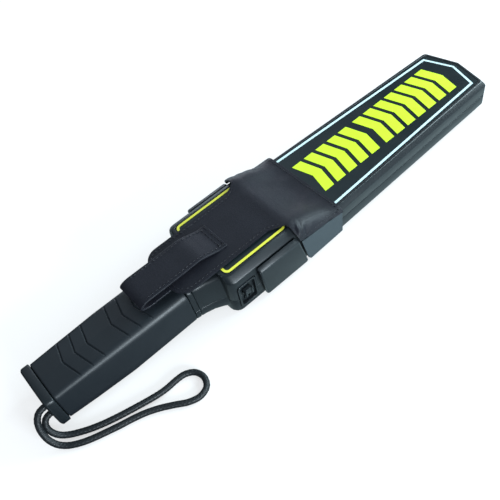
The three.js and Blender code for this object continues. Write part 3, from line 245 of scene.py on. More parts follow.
class Graph:
    """Short calls for adding and linking shader nodes in one tree."""

    def __init__(self, tree):
        self.tree = tree

    def add(self, kind, **values):
        """A new node with its settings."""
        node = self.tree.nodes.new(kind)
        for key, value in values.items():
            setattr(node, key, value)
        return node

    def link(self, source, target):
        """A link from an output to an input."""
        self.tree.links.new(source, target)

    def put(self, value, socket):
        """Gives an input a number, a colour, or what another node puts out."""
        if isinstance(value, (int, float)):
            socket.default_value = value
        elif isinstance(value, tuple):
            socket.default_value = (*value, 1)
        else:
            self.link(value, socket)

    def math(self, operation, a, b=None, clamp=False):
        """One step of arithmetic."""
        node = self.add("ShaderNodeMath", operation=operation, use_clamp=clamp)
        self.put(a, node.inputs[0])
        if b is not None:
            self.put(b, node.inputs[1])
        return node.outputs[0]

    def wave(self, place, count):
        """A sine wave along one coordinate: the sine of 2 pi times place times count."""
        turns = self.math("MULTIPLY", place, count)
        return self.math("SINE", self.math("MULTIPLY", turns, 2 * math.pi))

    def mix(self, factor, low, high):
        """A colour between two, by a factor."""
        node = self.add("ShaderNodeMix", data_type="RGBA")
        for number, value in ((0, factor), (6, low), (7, high)):
            self.put(value, node.inputs[number])
        return node.outputs[2]

    def remap(self, value, low, high, to_low, to_high):
        """A value moved from one range to another in a straight line, and held at the ends."""
        node = self.add("ShaderNodeMapRange")
        for socket, number in zip(node.inputs, (value, low, high, to_low, to_high)):
            self.put(number, socket)
        return node.outputs[0]

    def noise(self, vector, scale, detail=4.0, roughness=0.55):
        """Cloudy noise."""
        node = self.add("ShaderNodeTexNoise")
        self.link(vector, node.inputs["Vector"])
        self.put(scale, node.inputs["Scale"])
        node.inputs["Detail"].default_value = detail
        node.inputs["Roughness"].default_value = roughness
        return node.outputs["Fac"]

    def cell_edges(self, vector, scale):
        """The distance to the nearest edge between cells."""
        node = self.add("ShaderNodeTexVoronoi", feature="DISTANCE_TO_EDGE")
        self.link(vector, node.inputs["Vector"])
        self.put(scale, node.inputs["Scale"])
        return node.outputs["Distance"]

    def shade(self, kind, colour, **values):
        """A plain shader of one colour."""
        node = self.add(kind)
        self.put(colour, node.inputs["Color"])
        for key, value in values.items():
            node.inputs[key].default_value = value
        return node.outputs[0]

    def blend(self, factor, first, second):
        """Two shaders mixed by a factor."""
        node = self.add("ShaderNodeMixShader")
        for socket, source in zip(node.inputs, (factor, first, second)):
            self.link(source, socket)
        return node.outputs[0]


def new_group(name, outputs, **numbers):
    """An empty shader group with a vector input, named number inputs and number outputs."""
    tree = bpy.data.node_groups.new(name, "ShaderNodeTree")
    tree.interface.new_socket("Vector", in_out="INPUT", socket_type="NodeSocketVector")
    for label, value in numbers.items():
        socket = tree.interface.new_socket(label, in_out="INPUT", socket_type="NodeSocketFloat")
        socket.default_value = value
    for label in outputs:
        tree.interface.new_socket(label, in_out="OUTPUT", socket_type="NodeSocketFloat")
    graph = Graph(tree)
    return tree, graph, graph.add("NodeGroupInput").outputs, graph.add("NodeGroupOutput").inputs


def moulded_grain_group():
    """Spark-eroded mould texture with soft flow marks: a height, and a mask of how dull it is."""
    tree, g, inside, outside = new_group("moulded grain", ["Height", "Dullness"], Scale=1400.0)
    fine = g.noise(inside["Vector"], inside["Scale"], detail=3.0, roughness=0.6)
    coarse = g.noise(inside["Vector"], 38.0, detail=3.0, roughness=0.5)
    streaks = g.noise(inside["Vector"], 190.0, detail=2.0, roughness=0.5)
    g.link(g.math("ADD", fine, g.math("MULTIPLY", streaks, 0.3)), outside["Height"])
    dull = g.math("ADD", g.math("MULTIPLY", coarse, 0.7), g.math("MULTIPLY", fine, 0.3))
    g.link(dull, outside["Dullness"])
    return tree


def leather_grain_group():
    """Pebbled hide: cells parted by creases, moved about a little by noise, over slow waves.

    It puts out a height, a mask of the creases and the waves.
    """
    tree, g, inside, outside = new_group("leather grain", ["Height", "Creases", "Waves"], Scale=900.0)
    warp = g.add("ShaderNodeTexNoise")
    g.link(inside["Vector"], warp.inputs["Vector"])
    warp.inputs["Scale"].default_value = 260.0
    shift = g.add("ShaderNodeVectorMath", operation="SCALE")
    g.link(warp.outputs["Color"], shift.inputs[0])
    shift.inputs["Scale"].default_value = 1.2 * MM
    moved = g.add("ShaderNodeVectorMath", operation="ADD")
    g.link(inside["Vector"], moved.inputs[0])
    g.link(shift.outputs[0], moved.inputs[1])
    edges = g.cell_edges(moved.outputs[0], inside["Scale"])
    crease = g.remap(edges, 0.0, 0.16, 1.0, 0.0)
    small = g.noise(inside["Vector"], 2600.0, detail=2.0)
    waves = g.noise(inside["Vector"], 55.0, detail=3.0)
    pebble = g.math("SUBTRACT", g.math("MULTIPLY", small, 0.25), g.math("MULTIPLY", crease, 0.6))
    g.link(g.math("ADD", pebble, g.math("MULTIPLY", waves, 0.8)), outside["Height"])
    g.link(crease, outside["Creases"])
    g.link(waves, outside["Waves"])
    return tree


def mottle_group():
    """Slow unevenness of colour and gloss, with fine hairline scuffs."""
    tree, g, inside, outside = new_group("mottle and scuffs", ["Mottle", "Scuffs"], Scale=60.0)
    stretch = g.add("ShaderNodeMapping")
    g.link(inside["Vector"], stretch.inputs["Vector"])
    stretch.inputs["Scale"].default_value = (0.2, 3.0, 3.0)
    stretch.inputs["Rotation"].default_value = (0.0, 0.0, 0.5)
    lines = g.noise(stretch.outputs[0], 700.0, detail=2.0, roughness=0.5)
    g.link(g.noise(inside["Vector"], inside["Scale"]), outside["Mottle"])
    g.link(g.remap(lines, 0.68, 0.8, 0.0, 1.0), outside["Scuffs"])
    return tree


def weave_group():
    """Ribbed weave on the piece's own map: a wave of ribs, a weaker one of threads, and the gaps."""
    tree, g, inside, outside = new_group("ribbed weave", ["Height", "Gaps"], Ribs=900.0, Threads=1800.0)
    split = g.add("ShaderNodeSeparateXYZ")
    g.link(inside["Vector"], split.inputs[0])
    ribs = g.wave(split.outputs[0], inside["Ribs"])
    threads = g.wave(split.outputs[1], inside["Threads"])
    height = g.math("ADD", g.math("MULTIPLY", ribs, 0.6), g.math("MULTIPLY", threads, 0.25))
    g.link(height, outside["Height"])
    g.link(g.remap(ribs, -1.0, 0.2, 1.0, 0.0), outside["Gaps"])
    return tree


GROUPS = {
    "grain": moulded_grain_group(),
    "leather": leather_grain_group(),
    "mottle": mottle_group(),
    "weave": weave_group(),
}


class Finish:
    """One material under way: its shader, its coordinates, and calls that place the shared groups."""

    def __init__(self, name, colour, roughness, metallic=0.0, uv=False):
        self.material = bpy.data.materials.new(name)
        self.material.use_nodes = True
        self.material.diffuse_color = (*colour, 1)
        self.g = Graph(self.material.node_tree)
        nodes = self.material.node_tree.nodes
        self.shader = nodes["Principled BSDF"]
        place = self.g.add("ShaderNodeTexCoord")
        self.where = place.outputs["UV" if uv else "Object"]
        self.set("Base Color", (*colour, 1))
        self.set("Roughness", roughness)
        self.set("Metallic", metallic)

    def set(self, socket, value):
        """Sets one of the shader's inputs."""
        self.shader.inputs[socket].default_value = value

    def feed(self, socket, source):
        """Links what a node puts out to one of the shader's inputs."""
        self.g.link(source, self.shader.inputs[socket])

    def group(self, name, **values):
        """A shared group on the finish's coordinates, with its own values."""
        node = self.g.add("ShaderNodeGroup")
        node.node_tree = GROUPS[name]
        self.g.link(self.where, node.inputs["Vector"])
        for key, value in values.items():
            node.inputs[key].default_value = value
        return node.outputs

    def bump(self, height, strength, distance):
        """Tilts the shader's normal by a height."""
        node = self.g.add("ShaderNodeBump")
        node.inputs["Strength"].default_value = strength
        node.inputs["Distance"].default_value = distance
        self.g.link(height, node.inputs["Height"])
        self.feed("Normal", node.outputs[0])


def moulded_plastic(name, colour, light, roughness, grain_scale, depth):
    """Moulded plastic: a mould's grain in the normal, duller and lighter in slow patches."""
    m = Finish(name, colour, roughness[0])
    grain = m.group("grain", Scale=grain_scale)
    marks = m.group("mottle", Scale=45.0)
    patches = m.g.math("MULTIPLY", marks["Mottle"], 0.8)
    tone = m.g.math("ADD", patches, m.g.math("MULTIPLY", marks["Scuffs"], 0.2))
    m.feed("Base Color", m.g.mix(tone, colour, light))
    m.feed("Roughness", m.g.remap(grain["Dullness"], 0.3, 0.7, roughness[0], roughness[1]))
    m.set("Specular IOR Level", 0.42)
    m.bump(grain["Height"], 0.22, depth)
    return m.material


def leather_finish(name, colour, light, roughness):
    """Black hide with a soft polish: pebbles, creases that stay matt and are painted darker as shade, and
    slow waves.
    """
    m = Finish(name, colour, roughness[0])
    hide = m.group("leather", Scale=780.0)
    # The creases are painted darker, as shade in the grain's hollows; the waves vary the tone at random
    tone = m.g.math("SUBTRACT", hide["Waves"], m.g.math("MULTIPLY", hide["Creases"], 0.35), clamp=True)
    m.feed("Base Color", m.g.mix(tone, colour, light))
    rough = m.g.remap(hide["Creases"], 0.0, 1.0, roughness[0], roughness[1])
    m.feed("Roughness", m.g.math("ADD", rough, m.g.remap(hide["Waves"], 0.3, 0.7, -0.05, 0.08)))
    m.set("Specular IOR Level", 0.32)
    m.set("Sheen Weight", 0.06)
    m.set("Sheen Roughness", 0.4)
    m.set("Sheen Tint", (0.62, 0.6, 0.75, 1))
    m.bump(hide["Height"], 0.5, 0.00012)
    return m.material


def woven_finish(name, colour, light, roughness, ribs, threads, depth):
    """Woven band or braid on the piece's own map, painted darker between its ribs as shade."""
    m = Finish(name, colour, roughness[0], uv=True)
    cloth = m.group("weave", Ribs=ribs, Threads=threads)
    # Painted shade: darker in the gaps between the ribs
    m.feed("Base Color", m.g.mix(m.g.math("SUBTRACT", 1.0, cloth["Gaps"], clamp=True), colour, light))
    m.feed("Roughness", m.g.remap(cloth["Gaps"], 0.0, 1.0, roughness[0], roughness[1]))
    m.bump(cloth["Height"], 0.6, depth)
    return m.material


def ink_finish(name, colour, light):
    """Screen-printed ink: a flat colour with faint unevenness and a slight relief."""
    m = Finish(name, colour, 0.45)
    marks = m.group("mottle", Scale=160.0)
    m.feed("Base Color", m.g.mix(marks["Mottle"], colour, light))
    m.feed("Roughness", m.g.remap(marks["Mottle"], 0.2, 0.8, 0.36, 0.52))
    m.bump(marks["Mottle"], 0.15, 0.00005)
    return m.material


def film_finish(name, colour, light):
    """Glossy printed film with hairline scuffs."""
    m = Finish(name, colour, 0.3)
    marks = m.group("mottle", Scale=30.0)
    m.feed("Base Color", m.g.mix(marks["Mottle"], colour, light))
    gloss = m.g.remap(marks["Mottle"], 0.3, 0.7, 0.26, 0.36)
    m.feed("Roughness", m.g.math("ADD", gloss, m.g.math("MULTIPLY", marks["Scuffs"], 0.18)))
    m.bump(marks["Mottle"], 0.08, 0.0002)
    return m.material


def metal_finish(name, colour, light, roughness):
    """Plated or wound metal with fine drawn lines."""
    m = Finish(name, colour, roughness, metallic=1.0)
    marks = m.group("mottle", Scale=220.0)
    m.feed("Base Color", m.g.mix(marks["Mottle"], colour, light))
    m.feed("Roughness", m.g.remap(marks["Scuffs"], 0.0, 1.0, roughness, roughness + 0.2))
    m.bump(marks["Scuffs"], 0.1, 0.00005)
    return m.material


def lens_finish(name, colour):
    """A small tinted lamp lens, clear and glossy."""
    m = Finish(name, colour, 0.12)
    marks = m.group("mottle", Scale=400.0)
    m.feed("Roughness", m.g.remap(marks["Mottle"], 0.3, 0.7, 0.08, 0.16))
    m.set("Coat Weight", 0.6)
    m.set("Coat Roughness", 0.05)
    return m.material


# The finishes: a colour and a lighter one, apart from the lenses, then the function's other values
MATERIALS = {
    "black_abs": moulded_plastic(
        "black ABS", (0.006, 0.0085, 0.0105), (0.011, 0.015, 0.018), (0.34, 0.46), 1500.0, 5e-5
    ),
    # A lighter, glossier black ABS for rounded edges and the knob: wear and a painted highlight
    "worn_and_highlit_abs": moulded_plastic(
        "worn ABS edge with painted highlight", (0.009, 0.012, 0.014), (0.02, 0.026, 0.03), (0.27, 0.38), 1500.0, 4e-5
    ),
    "grip": moulded_plastic(
        "grip plastic", (0.006, 0.009, 0.012), (0.012, 0.016, 0.02), (0.38, 0.5), 1100.0, 7e-5
    ),
    "leather": leather_finish(
        "black leather", (0.0045, 0.005, 0.0085), (0.008, 0.009, 0.015), (0.42, 0.62)
    ),
    "elastic": woven_finish(
        "elastic band", (0.014, 0.022, 0.027), (0.03, 0.044, 0.052), (0.62, 0.85), 1000.0, 1700.0, 6e-5
    ),
    "cord": woven_finish(
        "braided cord", (0.003, 0.004, 0.005), (0.008, 0.011, 0.013), (0.42, 0.66), 1400.0, 24.0, 8e-5
    ),
    "thread": ink_finish("black thread", (0.004, 0.004, 0.007), (0.007, 0.007, 0.012)),
    "film": film_finish("label film", (0.004, 0.009, 0.011), (0.008, 0.014, 0.016)),
    "pale_ink": ink_finish("pale ink", (0.46, 0.62, 0.64), (0.56, 0.72, 0.74)),
    "lime_ink": ink_finish("lime ink", (0.46, 0.69, 0.01), (0.53, 0.77, 0.015)),
    "yellow_ink": ink_finish("yellow ink", (0.56, 0.56, 0.03), (0.64, 0.64, 0.06)),
    "steel": metal_finish("plated steel", (0.42, 0.43, 0.44), (0.55, 0.55, 0.56), 0.28),
    "copper": metal_finish("enamelled copper", (0.5, 0.17, 0.07), (0.62, 0.25, 0.11), 0.3),
    "board": film_finish("circuit board", (0.01, 0.08, 0.035), (0.015, 0.12, 0.05)),
    "white": moulded_plastic(
        "natural plastic", (0.58, 0.57, 0.5), (0.66, 0.65, 0.59), (0.45, 0.6), 900.0, 6e-5
    ),
    "battery": film_finish("battery wrap", (0.05, 0.07, 0.09), (0.08, 0.1, 0.13)),
    "sheath": ink_finish("wire sheath", (0.35, 0.02, 0.02), (0.45, 0.03, 0.03)),
    "green_lens": lens_finish("green lens", (0.04, 0.45, 0.08)),
    "amber_lens": lens_finish("amber lens", (0.75, 0.33, 0.02)),
    "red_lens": lens_finish("red lens", (0.6, 0.03, 0.02)),
}

# The solids of each finish, apart from the label's marks, the screws and the leather and cord
SOLIDS_BY_FINISH = {
    "black_abs": [
        "lower_shell", "upper_shell", "end_cap", "side_pad", "sensitivity_button", "switch_bezel",
        "slide_switch_knob", "earphone_socket", "battery_clip", "battery_tray",
    ],
    "grip": ["cord_grommet", "grip_sleeve"],
    "film": ["paddle_label", "panel_label"],
    "pale_ink": ["label_border"],
    "yellow_ink": ["panel_border"],
    "green_lens": ["lamp_lens_1"],
    "amber_lens": ["lamp_lens_2"],
    "red_lens": ["lamp_lens_3"],
    "steel": ["button_switch", "slide_switch_body", "speaker", "vibration_motor"],
    "board": ["circuit_board"],
    "white": ["coil_former"],
    "copper": ["transmit_coil", "receive_coil"],
    "battery": ["battery"],
    "sheath": ["battery_lead"],
}


def dress_solids():
    """Gives every solid of the frame its finish; those that scene pieces replace stay unseen."""
    finishes = {name: key for key, names in SOLIDS_BY_FINISH.items() for name in names}
    for name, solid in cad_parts.items():
        if name.startswith("label_mark"):
            finish_name = "lime_ink"
        elif name.startswith("housing_screw"):
            finish_name = "steel"
        else:
            finish_name = finishes.get(name, "leather")
        for material_slot in solid.material_slots:
            material_slot.material = MATERIALS[finish_name]


# How near a solid's points are one point, how flat its faces are one face, how sharp an edge is rounded
SOLID_WELD = 2e-6
FLAT_WITHIN = math.radians(0.6)
SHARP_FROM = math.radians(28)


def softened(node, body, width, finish_name="black_abs"):
    """A copy of a black solid, its sharp edges rounded by a given width and made lighter: wear and a
    painted highlight.
    """
    shape = bmesh.new()
    shape.from_mesh(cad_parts[node].data)
    bmesh.ops.remove_doubles(shape, verts=shape.verts, dist=SOLID_WELD)
    bmesh.ops.dissolve_limit(shape, angle_limit=FLAT_WITHIN, verts=shape.verts, edges=shape.edges)
    mesh = bpy.data.meshes.new(node + "_finished")
    shape.to_mesh(mesh)
    shape.free()
    mesh.shade_smooth()
    mesh.materials.clear()
    mesh.materials.append(MATERIALS[finish_name])
    mesh.materials.append(MATERIALS["worn_and_highlit_abs"])
    piece = add_object(node + "_finished", mesh)
    bevel = piece.modifiers.new("rounded edges", "BEVEL")
    bevel.width = width
    bevel.segments = 2
    # The rounded faces take the lighter edge finish: wear and a painted highlight along the edges
    bevel.material = 1
    bevel.limit_method = "ANGLE"
    bevel.angle_limit = SHARP_FROM
    bevel.use_clamp_overlap = False
    bevel.harden_normals = True
    bevel.miter_outer = "MITER_ARC"
    return finish(piece, body, "black_abs", node)


# Wrist cord

# Points listed along the cord, from the cap's upper hole round the loop to its lower one
CORD_ROUTE_MM = [
    (-208.3, -12.8, 25.4),
    (-209.3, -12.8, 25.4),
    (-213.2, -13.1, 24.4),
    (-216.6, -14.6, 21.4),
    (-218.7, -17, 17.2),
    (-219.5, -20, 12.4),
    (-219, -23.4, 7.9),
    (-216.8, -27.2, 4.4),
    (-212.9, -30.9, 2.7),
    (-208.3, -34, 2.4),
    (-202.4, -37, 2.4),
    (-196, -39.4, 2.4),
    (-189, -41.6, 2.4),
    (-181, -44, 2.4),
    (-172.6, -46.2, 2.4),
    (-164.2, -48.9, 2.4),
    (-155.8, -52.8, 2.4),
    (-147.2, -58, 2.4),
    (-139.4, -63, 2.4),
    (-131.4, -65.2, 2.4),
    (-124.6, -62.8, 2.4),
    (-121.7, -56.4, 2.4),
    (-123.7, -49.8, 2.4),
    (-129.4, -45.9, 2.4),
    (-136.6, -45.1, 2.4),
    (-143.6, -45.3, 2.4),
    (-151.2, -44.6, 2.4),
    (-170.6, -40.3, 2.4),
    (-179.4, -38, 2.4),
    (-187.6, -35.5, 2.4),
    (-195.2, -32.6, 2.4),
    (-202, -29.3, 2.4),
    (-207.8, -26, 2.7),
    (-212, -23.2, 4.2),
    (-214.7, -20.4, 7.1),
    (-215.7, -17.5, 10.6),
    (-214.8, -15, 13.4),
    (-212.4, -13.3, 15.1),
    (-209.3, -12.8, 15.6),
    (-208.3, -12.8, 15.6),
]


def braided_cord():
    """Wrist cord: a tube whose radius swells where one of two crossing sets of strands lies on top.

    With a the turn about the cord plus the way along it, and b the turn minus it, each set of
    strands is the square of a half-angle cosine. The sign of sin((a + b) / 2) sin((a - b) / 2)
    says which set is over.
    """
    path = spline(np.array(CORD_ROUTE_MM) * MM, samples=900)
    side, up = path_sides(path)
    turns = np.linspace(0, 2 * np.pi, 32, endpoint=False)
    length = run_along(path)
    around = CORD_STRANDS * turns[None, :]
    onward = 2 * np.pi / BRAID_PITCH * length[:, None]
    a, b = around + onward, around - onward
    over = 0.5 + 0.4 * np.sign(np.sin((a + b) / 2) * np.sin((a - b) / 2))
    ridge = np.maximum(np.cos(a / 2) ** 2 * over, np.cos(b / 2) ** 2 * (1 - over))
    radius = CORD_DIAMETER / 2 * (BRAID_LOW + BRAID_RISE * ridge)
    ring = np.cos(turns)[None, :, None] * side[:, None] + np.sin(turns)[None, :, None] * up[:, None]
    points = path[:, None] + radius[..., None] * ring
    uv = np.stack(np.broadcast_arrays(length[:, None], turns[None, :] / (2 * np.pi)), axis=-1)
    mesh = grid_mesh("braided_cord", points, uv, ring=True)
    cap_ends(mesh, *points.shape[:2])
    mesh.materials.append(MATERIALS["cord"])
    piece = finish(add_object("braided_cord", mesh), "cap", "cord_weave", "wrist_cord")


# Grip

GRIP_START = -201 * MM
GRIP_LENGTH = 103 * MM
GRIP_HALF_TOP = 17.8 * MM
GRIP_HALF_BOTTOM = 24 * MM
GRIP_HEIGHT = 33.4 * MM
GRIP_LIFT = 1.4 * MM
GRIP_CROWN = 0.8 * MM
BORE_HALF = 15.5 * MM
BORE_MIDDLE = 17.2 * MM
BORE_RISE = 12.2 * MM
FOOT_RADIUS = 8 * MM
CREST_RADIUS = 4.4 * MM
END_EASE = 0.7 * MM
GROOVE_SPAN = 15 * MM
GROOVE_SWEEP = 3.7 * MM
GROOVE_DEPTH = 0.75 * MM
GROOVE_HALF = 0.75 * MM
GROOVE_FADE = 0.8 * MM
GROOVE_FLOOR = 27 * MM

# Share of the length, then shares of the width above, the width below, the height and the lift
GRIP_SHARES = np.array(
    [
        (0, 0.93, 0.86, 0.948, 1.8),
        (0.2, 0.96, 0.93, 0.975, 1.35),
        (0.48, 1, 1, 1, 1),
        (0.75, 1.02, 0.985, 1, 1.1),
        (1, 1.03, 0.975, 1, 1.3),
    ]
)

# The stations at which the grooves start
GROOVE_STARTS = GRIP_START + np.array([16, 25.3, 34.6, 53.5, 62.8, 72.1]) * MM


def rounded_rings(corners, radii, arc_steps, edge_steps):
    """Rings with round corners: stations by corners in, stations by ring points out.

    Each corner's arc has its centre on the bisector at radius / sin(half angle), and the straight
    runs between arcs are divided evenly.
    """
    count = corners.shape[1]
    arcs = []
    for i in range(count):
        corner = corners[:, i]
        arms = [unit(corners[:, (i + k) % count] - corner) for k in (-1, 1)]
        half = np.arccos(np.clip((arms[0] * arms[1]).sum(axis=1), -1, 1))[:, None] / 2
        middle = unit(arms[0] + arms[1])
        radius = np.reshape(radii[i], (-1, 1))
        centre = corner + middle * radius / np.sin(half)
        start = corner + arms[0] * radius / np.tan(half) - centre
        end = corner + arms[1] * radius / np.tan(half) - centre
        sweep = np.pi - 2 * half
        t = np.linspace(0, 1, arc_steps + 1)[None, :, None]
        weight_start = np.sin((1 - t) * sweep[:, None]) / np.sin(sweep)[:, None]
        weight_end = np.sin(t * sweep[:, None]) / np.sin(sweep)[:, None]
        arcs.append(centre[:, None] + weight_start * start[:, None] + weight_end * end[:, None])
    parts = []
    for i in range(count):
        parts.append(arcs[i])
        t = np.linspace(0, 1, edge_steps[i] + 1)[1:-1][None, :, None]
        after = arcs[(i + 1) % count]
        parts.append(arcs[i][:, -1:] * (1 - t) + after[:, :1] * t)
    return np.concatenate(parts, axis=1)


def grip_rings(x, shrink):
    """The grip's outline at stations x, drawn in by an amount at each station."""
    along = (x - GRIP_START) / GRIP_LENGTH
    shares = [np.interp(along, GRIP_SHARES[:, 0], GRIP_SHARES[:, k]) for k in (1, 2, 3, 4)]
    top_half = GRIP_HALF_TOP * shares[0] - shrink
    low_half = GRIP_HALF_BOTTOM * shares[1] - shrink
    top = GRIP_HEIGHT * shares[2] - shrink
    low = GRIP_LIFT * shares[3] + shrink
    crest = top + GRIP_CROWN
    corners = [(-low_half, low), (low_half, low), (top_half, top), (0 * top, crest), (-top_half, top)]
    section = np.stack([np.stack(corner, axis=1) for corner in corners], axis=1)
    edge = np.interp(along, [0, 0.3, 1], [3.8, 5.4, 7.4]) * MM
    radii = [FOOT_RADIUS, FOOT_RADIUS, edge, CREST_RADIUS, edge]
    return rounded_rings(section, radii, arc_steps=10, edge_steps=[10, 12, 44, 44, 12])


def grip_stations(end):
    """Stations along the grip: close together in the grooves and at both ends, wide elsewhere."""
    fine = np.concatenate([np.arange(s - 1 * MM, s + 6.2 * MM, 0.22 * MM) for s in GROOVE_STARTS])
    coarse = np.arange(GRIP_START, end, 1.5 * MM)
    apart = np.abs(coarse[:, None] - fine[None, :]).min(axis=1) > 0.6 * MM
    inner = np.concatenate([fine, coarse[apart]])
    inner = inner[(inner > GRIP_START + 1 * MM) & (inner < end - 1 * MM)]
    edge = np.array([0, 0.12, 0.35, 0.7]) * MM
    return np.unique(np.concatenate([inner, GRIP_START + edge, end - edge]))


def grip_piece():
    """Grip sleeve: a swelling outline with V grooves cut into its top, round a rectangular bore.

    A groove's floor lies at x = start + half its width + sweep |y| / span, and its depth falls off
    in a straight line to each side. The ends are eased by a quarter circle, and the bore is the
    outline drawn in to a rectangle.
    """
    end = GRIP_START + GRIP_LENGTH - SEAT_GAP
    x = grip_stations(end)
    short = np.clip(1 - np.minimum(x - GRIP_START, end - x) / END_EASE, 0, 1)
    rings = grip_rings(x, END_EASE * (1 - np.sqrt(1 - short**2)))
    y, z = rings[..., 0], rings[..., 1]
    stations = np.broadcast_to(x[:, None], y.shape)
    on_top = np.clip((z - GROOVE_FLOOR) / (2 * MM), 0, 1)
    reach = np.clip((GROOVE_SPAN + GROOVE_FADE - np.abs(y)) / (2 * GROOVE_FADE), 0, 1)
    for start in GROOVE_STARTS:
        away = np.abs(stations - start - GROOVE_HALF - GROOVE_SWEEP * np.abs(y) / GROOVE_SPAN)
        z = z - GROOVE_DEPTH * on_top * reach * np.clip(1 - away / GROOVE_HALF, 0, 1)
    outer = np.stack([stations, y, z], axis=-1)
    rise = z - BORE_MIDDLE
    scale = np.minimum(BORE_HALF / np.maximum(np.abs(y), 1e-6), BORE_RISE / np.maximum(np.abs(rise), 1e-6))
    bore = np.stack([stations, y * scale, BORE_MIDDLE + rise * scale], axis=-1)
    points = np.concatenate([outer, bore[-1:], bore[:1], outer[:1]])
    mesh = grid_mesh("grip_body", points, ring=True)
    weld(mesh)
    mesh.shade_smooth()
    mesh.set_sharp_from_angle(angle=math.radians(35))
    mesh.materials.append(MATERIALS["grip"])
    return finish(add_object("grip_body", mesh), "wand", "grip_rubber", "grip_sleeve")


# Leather holster


def mix_along(x, pair):
    """A value that goes from the housing's to the paddle's while x goes down the ramp."""
    down = np.clip((x - RAMP_START) / RAMP_LENGTH, 0, 1)
    return pair[0] + (pair[1] - pair[0]) * down


def eased(t):
    """A smooth step from 0 to 1: 3 t^2 - 2 t^3, held at its ends."""
    t = np.clip(t, 0, 1)
    return t**2 * (3 - 2 * t)


def paddle_half(x):
    """Half the paddle's width at stations x."""
    share = (np.maximum(x, PADDLE_START) - PADDLE_START) / (PADDLE_TIP_CORNER - PADDLE_START)
    return PADDLE_ROOT_HALF + (PADDLE_TIP_HALF - PADDLE_ROOT_HALF) * share


def cover_half(x):
    """Half the width over the hide's flaps, which stand off the band, further from the ramp on."""
    return paddle_half(x) + SEAT_GAP + FLAP_OFF + FLAP_FLARE * eased((x - RAMP_START) / (10 * MM))


def flap_edge(x):
    """Height of the flap's lower edge at stations x: a straight line from its rear to its front."""
    share = (x - HOLSTER_REAR) / (HOLSTER_FRONT - HOLSTER_REAR)
    return FLAP_EDGE[0] + (FLAP_EDGE[1] - FLAP_EDGE[0]) * share


def shoulder(x):
    """The wrap at stations x: half its width, half its width on top, its top, and its shoulder's drop."""
    half = cover_half(x)
    top = mix_along(x, (HOUSING_TOP, PADDLE_TOP)) + HIDE_LIFT
    return half, half - mix_along(x, SHOULDER_RUN), top, mix_along(x, SHOULDER_DROP)


def folded(x, s):
    """The sharp wrap over housing, ramp and paddle: at station x, a length s from the middle.

    The line runs level to the top edge, slopes to the side edge and then goes straight down.
    """
    half, top_half, top, drop = shoulder(x)
    slope = np.hypot(half - top_half, drop)
    reach = np.abs(s)
    share = np.clip((reach - top_half) / slope, 0, 1)
    y = np.minimum(reach, top_half) + share * (half - top_half)
    z = top - share * drop - np.maximum(reach - top_half - slope, 0)
    return np.stack([x + 0 * s, np.sign(s) * y, z], axis=-1)


def draped(x, s, soft_x, soft_s):
    """The wrap with its folds rounded: each point is the mean over a few millimetres either side."""
    total = 0
    steps = np.linspace(-1, 1, 7)
    for step_x in steps:
        for step_s in steps:
            total = total + folded(x + step_x * soft_x, s + step_s * soft_s)
    return total / len(steps) ** 2


def side_reach(x):
    """How far the hide reaches from the middle along the fold line, to the flap's lower edge."""
    half, top_half, top, drop = shoulder(x)
    return top_half + np.hypot(half - top_half, drop) + top - drop - flap_edge(x) - HIDE_MARGIN


# Each in millimetres but its turn: the station and place across, the turn, how long, wide and high.
# Fullness over both shoulders and the ramp's crest, and waves at the front and on the tongue
HIDE_SWELLS = [
    (3, -29, 0.15, 16, 9, 2.4),
    (3, 29, -0.15, 16, 9, 2.4),
    (-13, 0, 0, 11, 60, 0.85),
    (16, -14, 0.5, 14, 5, 0.5),
    (13, 12, -0.45, 15, 5, 0.5),
    (-34, 2, 1.5, 26, 9, 0.25),
]
# Short wrinkles where the hide is pulled round its rear corners
HIDE_PINCHES = [
    (-13.5, -37, 1.15, 4.5, 1.1, 1.3),
    (-10, -37.5, 0.95, 4.5, 1.3, 0.9),
    (-5, -40, 0.6, 5, 1.8, 0.4),
    (-6, 38, -0.8, 5, 1.6, 0.5),
    (3, 37, -0.5, 7, 1.8, 0.6),
]


def puckers(x, s, rows):
    """The sum of low swellings: each two bell curves multiplied, along a turned line and across it."""
    total = 0
    for station, place, turn, length, width, height in rows:
        ahead, aside = x - station * MM, s - place * MM
        along = ahead * np.cos(turn) + aside * np.sin(turn)
        across = aside * np.cos(turn) - ahead * np.sin(turn)
        bell = np.exp(-((along / (length * MM)) ** 2) - (across / (width * MM)) ** 2)
        total = total + height * MM * bell
    return total


def hide_point(x, s):
    """The hide's middle surface at station x and a length s from its middle line.

    Its folds are rounder on the cover than on the tongue, and less so across towards the front.
    Swellings and pinches lift it. Pinches and the lip of the flap's lower edge push it outwards.
    """
    cover = eased((x - HOLSTER_REAR) / (7 * MM))
    front = eased((x - 6 * MM) / (18 * MM))
    round_along = 4.4 * MM + 2.6 * MM * cover
    round_across = 2.8 * MM + (5 * MM - 3.4 * MM * front) * cover
    points = draped(x, s, round_along, round_across)
    side = np.clip((np.abs(s) - 30 * MM) / (10 * MM), 0, 1)
    pinch = puckers(x, s, HIDE_PINCHES)
    to_edge = np.clip((side_reach(x) - np.abs(s)) / LIP_WIDTH, 0, 1)
    lip = LIP_OUT * cover * (1 - to_edge) ** 2
    points[..., 0] = x
    points[..., 1] += np.sign(s) * (pinch * side + lip)
    points[..., 2] += puckers(x, s, HIDE_SWELLS) + pinch * (1 - 0.6 * side)
    return points


def hide_normal(x, s):
    """The hide's outward direction, from the cross product of its two steps."""
    step = 0.2 * MM
    along = hide_point(x + step, s) - hide_point(x - step, s)
    across = hide_point(x, s + step) - hide_point(x, s - step)
    normal = unit(np.cross(along, across))
    return normal * np.sign(normal[..., 2:] + 1e-9)


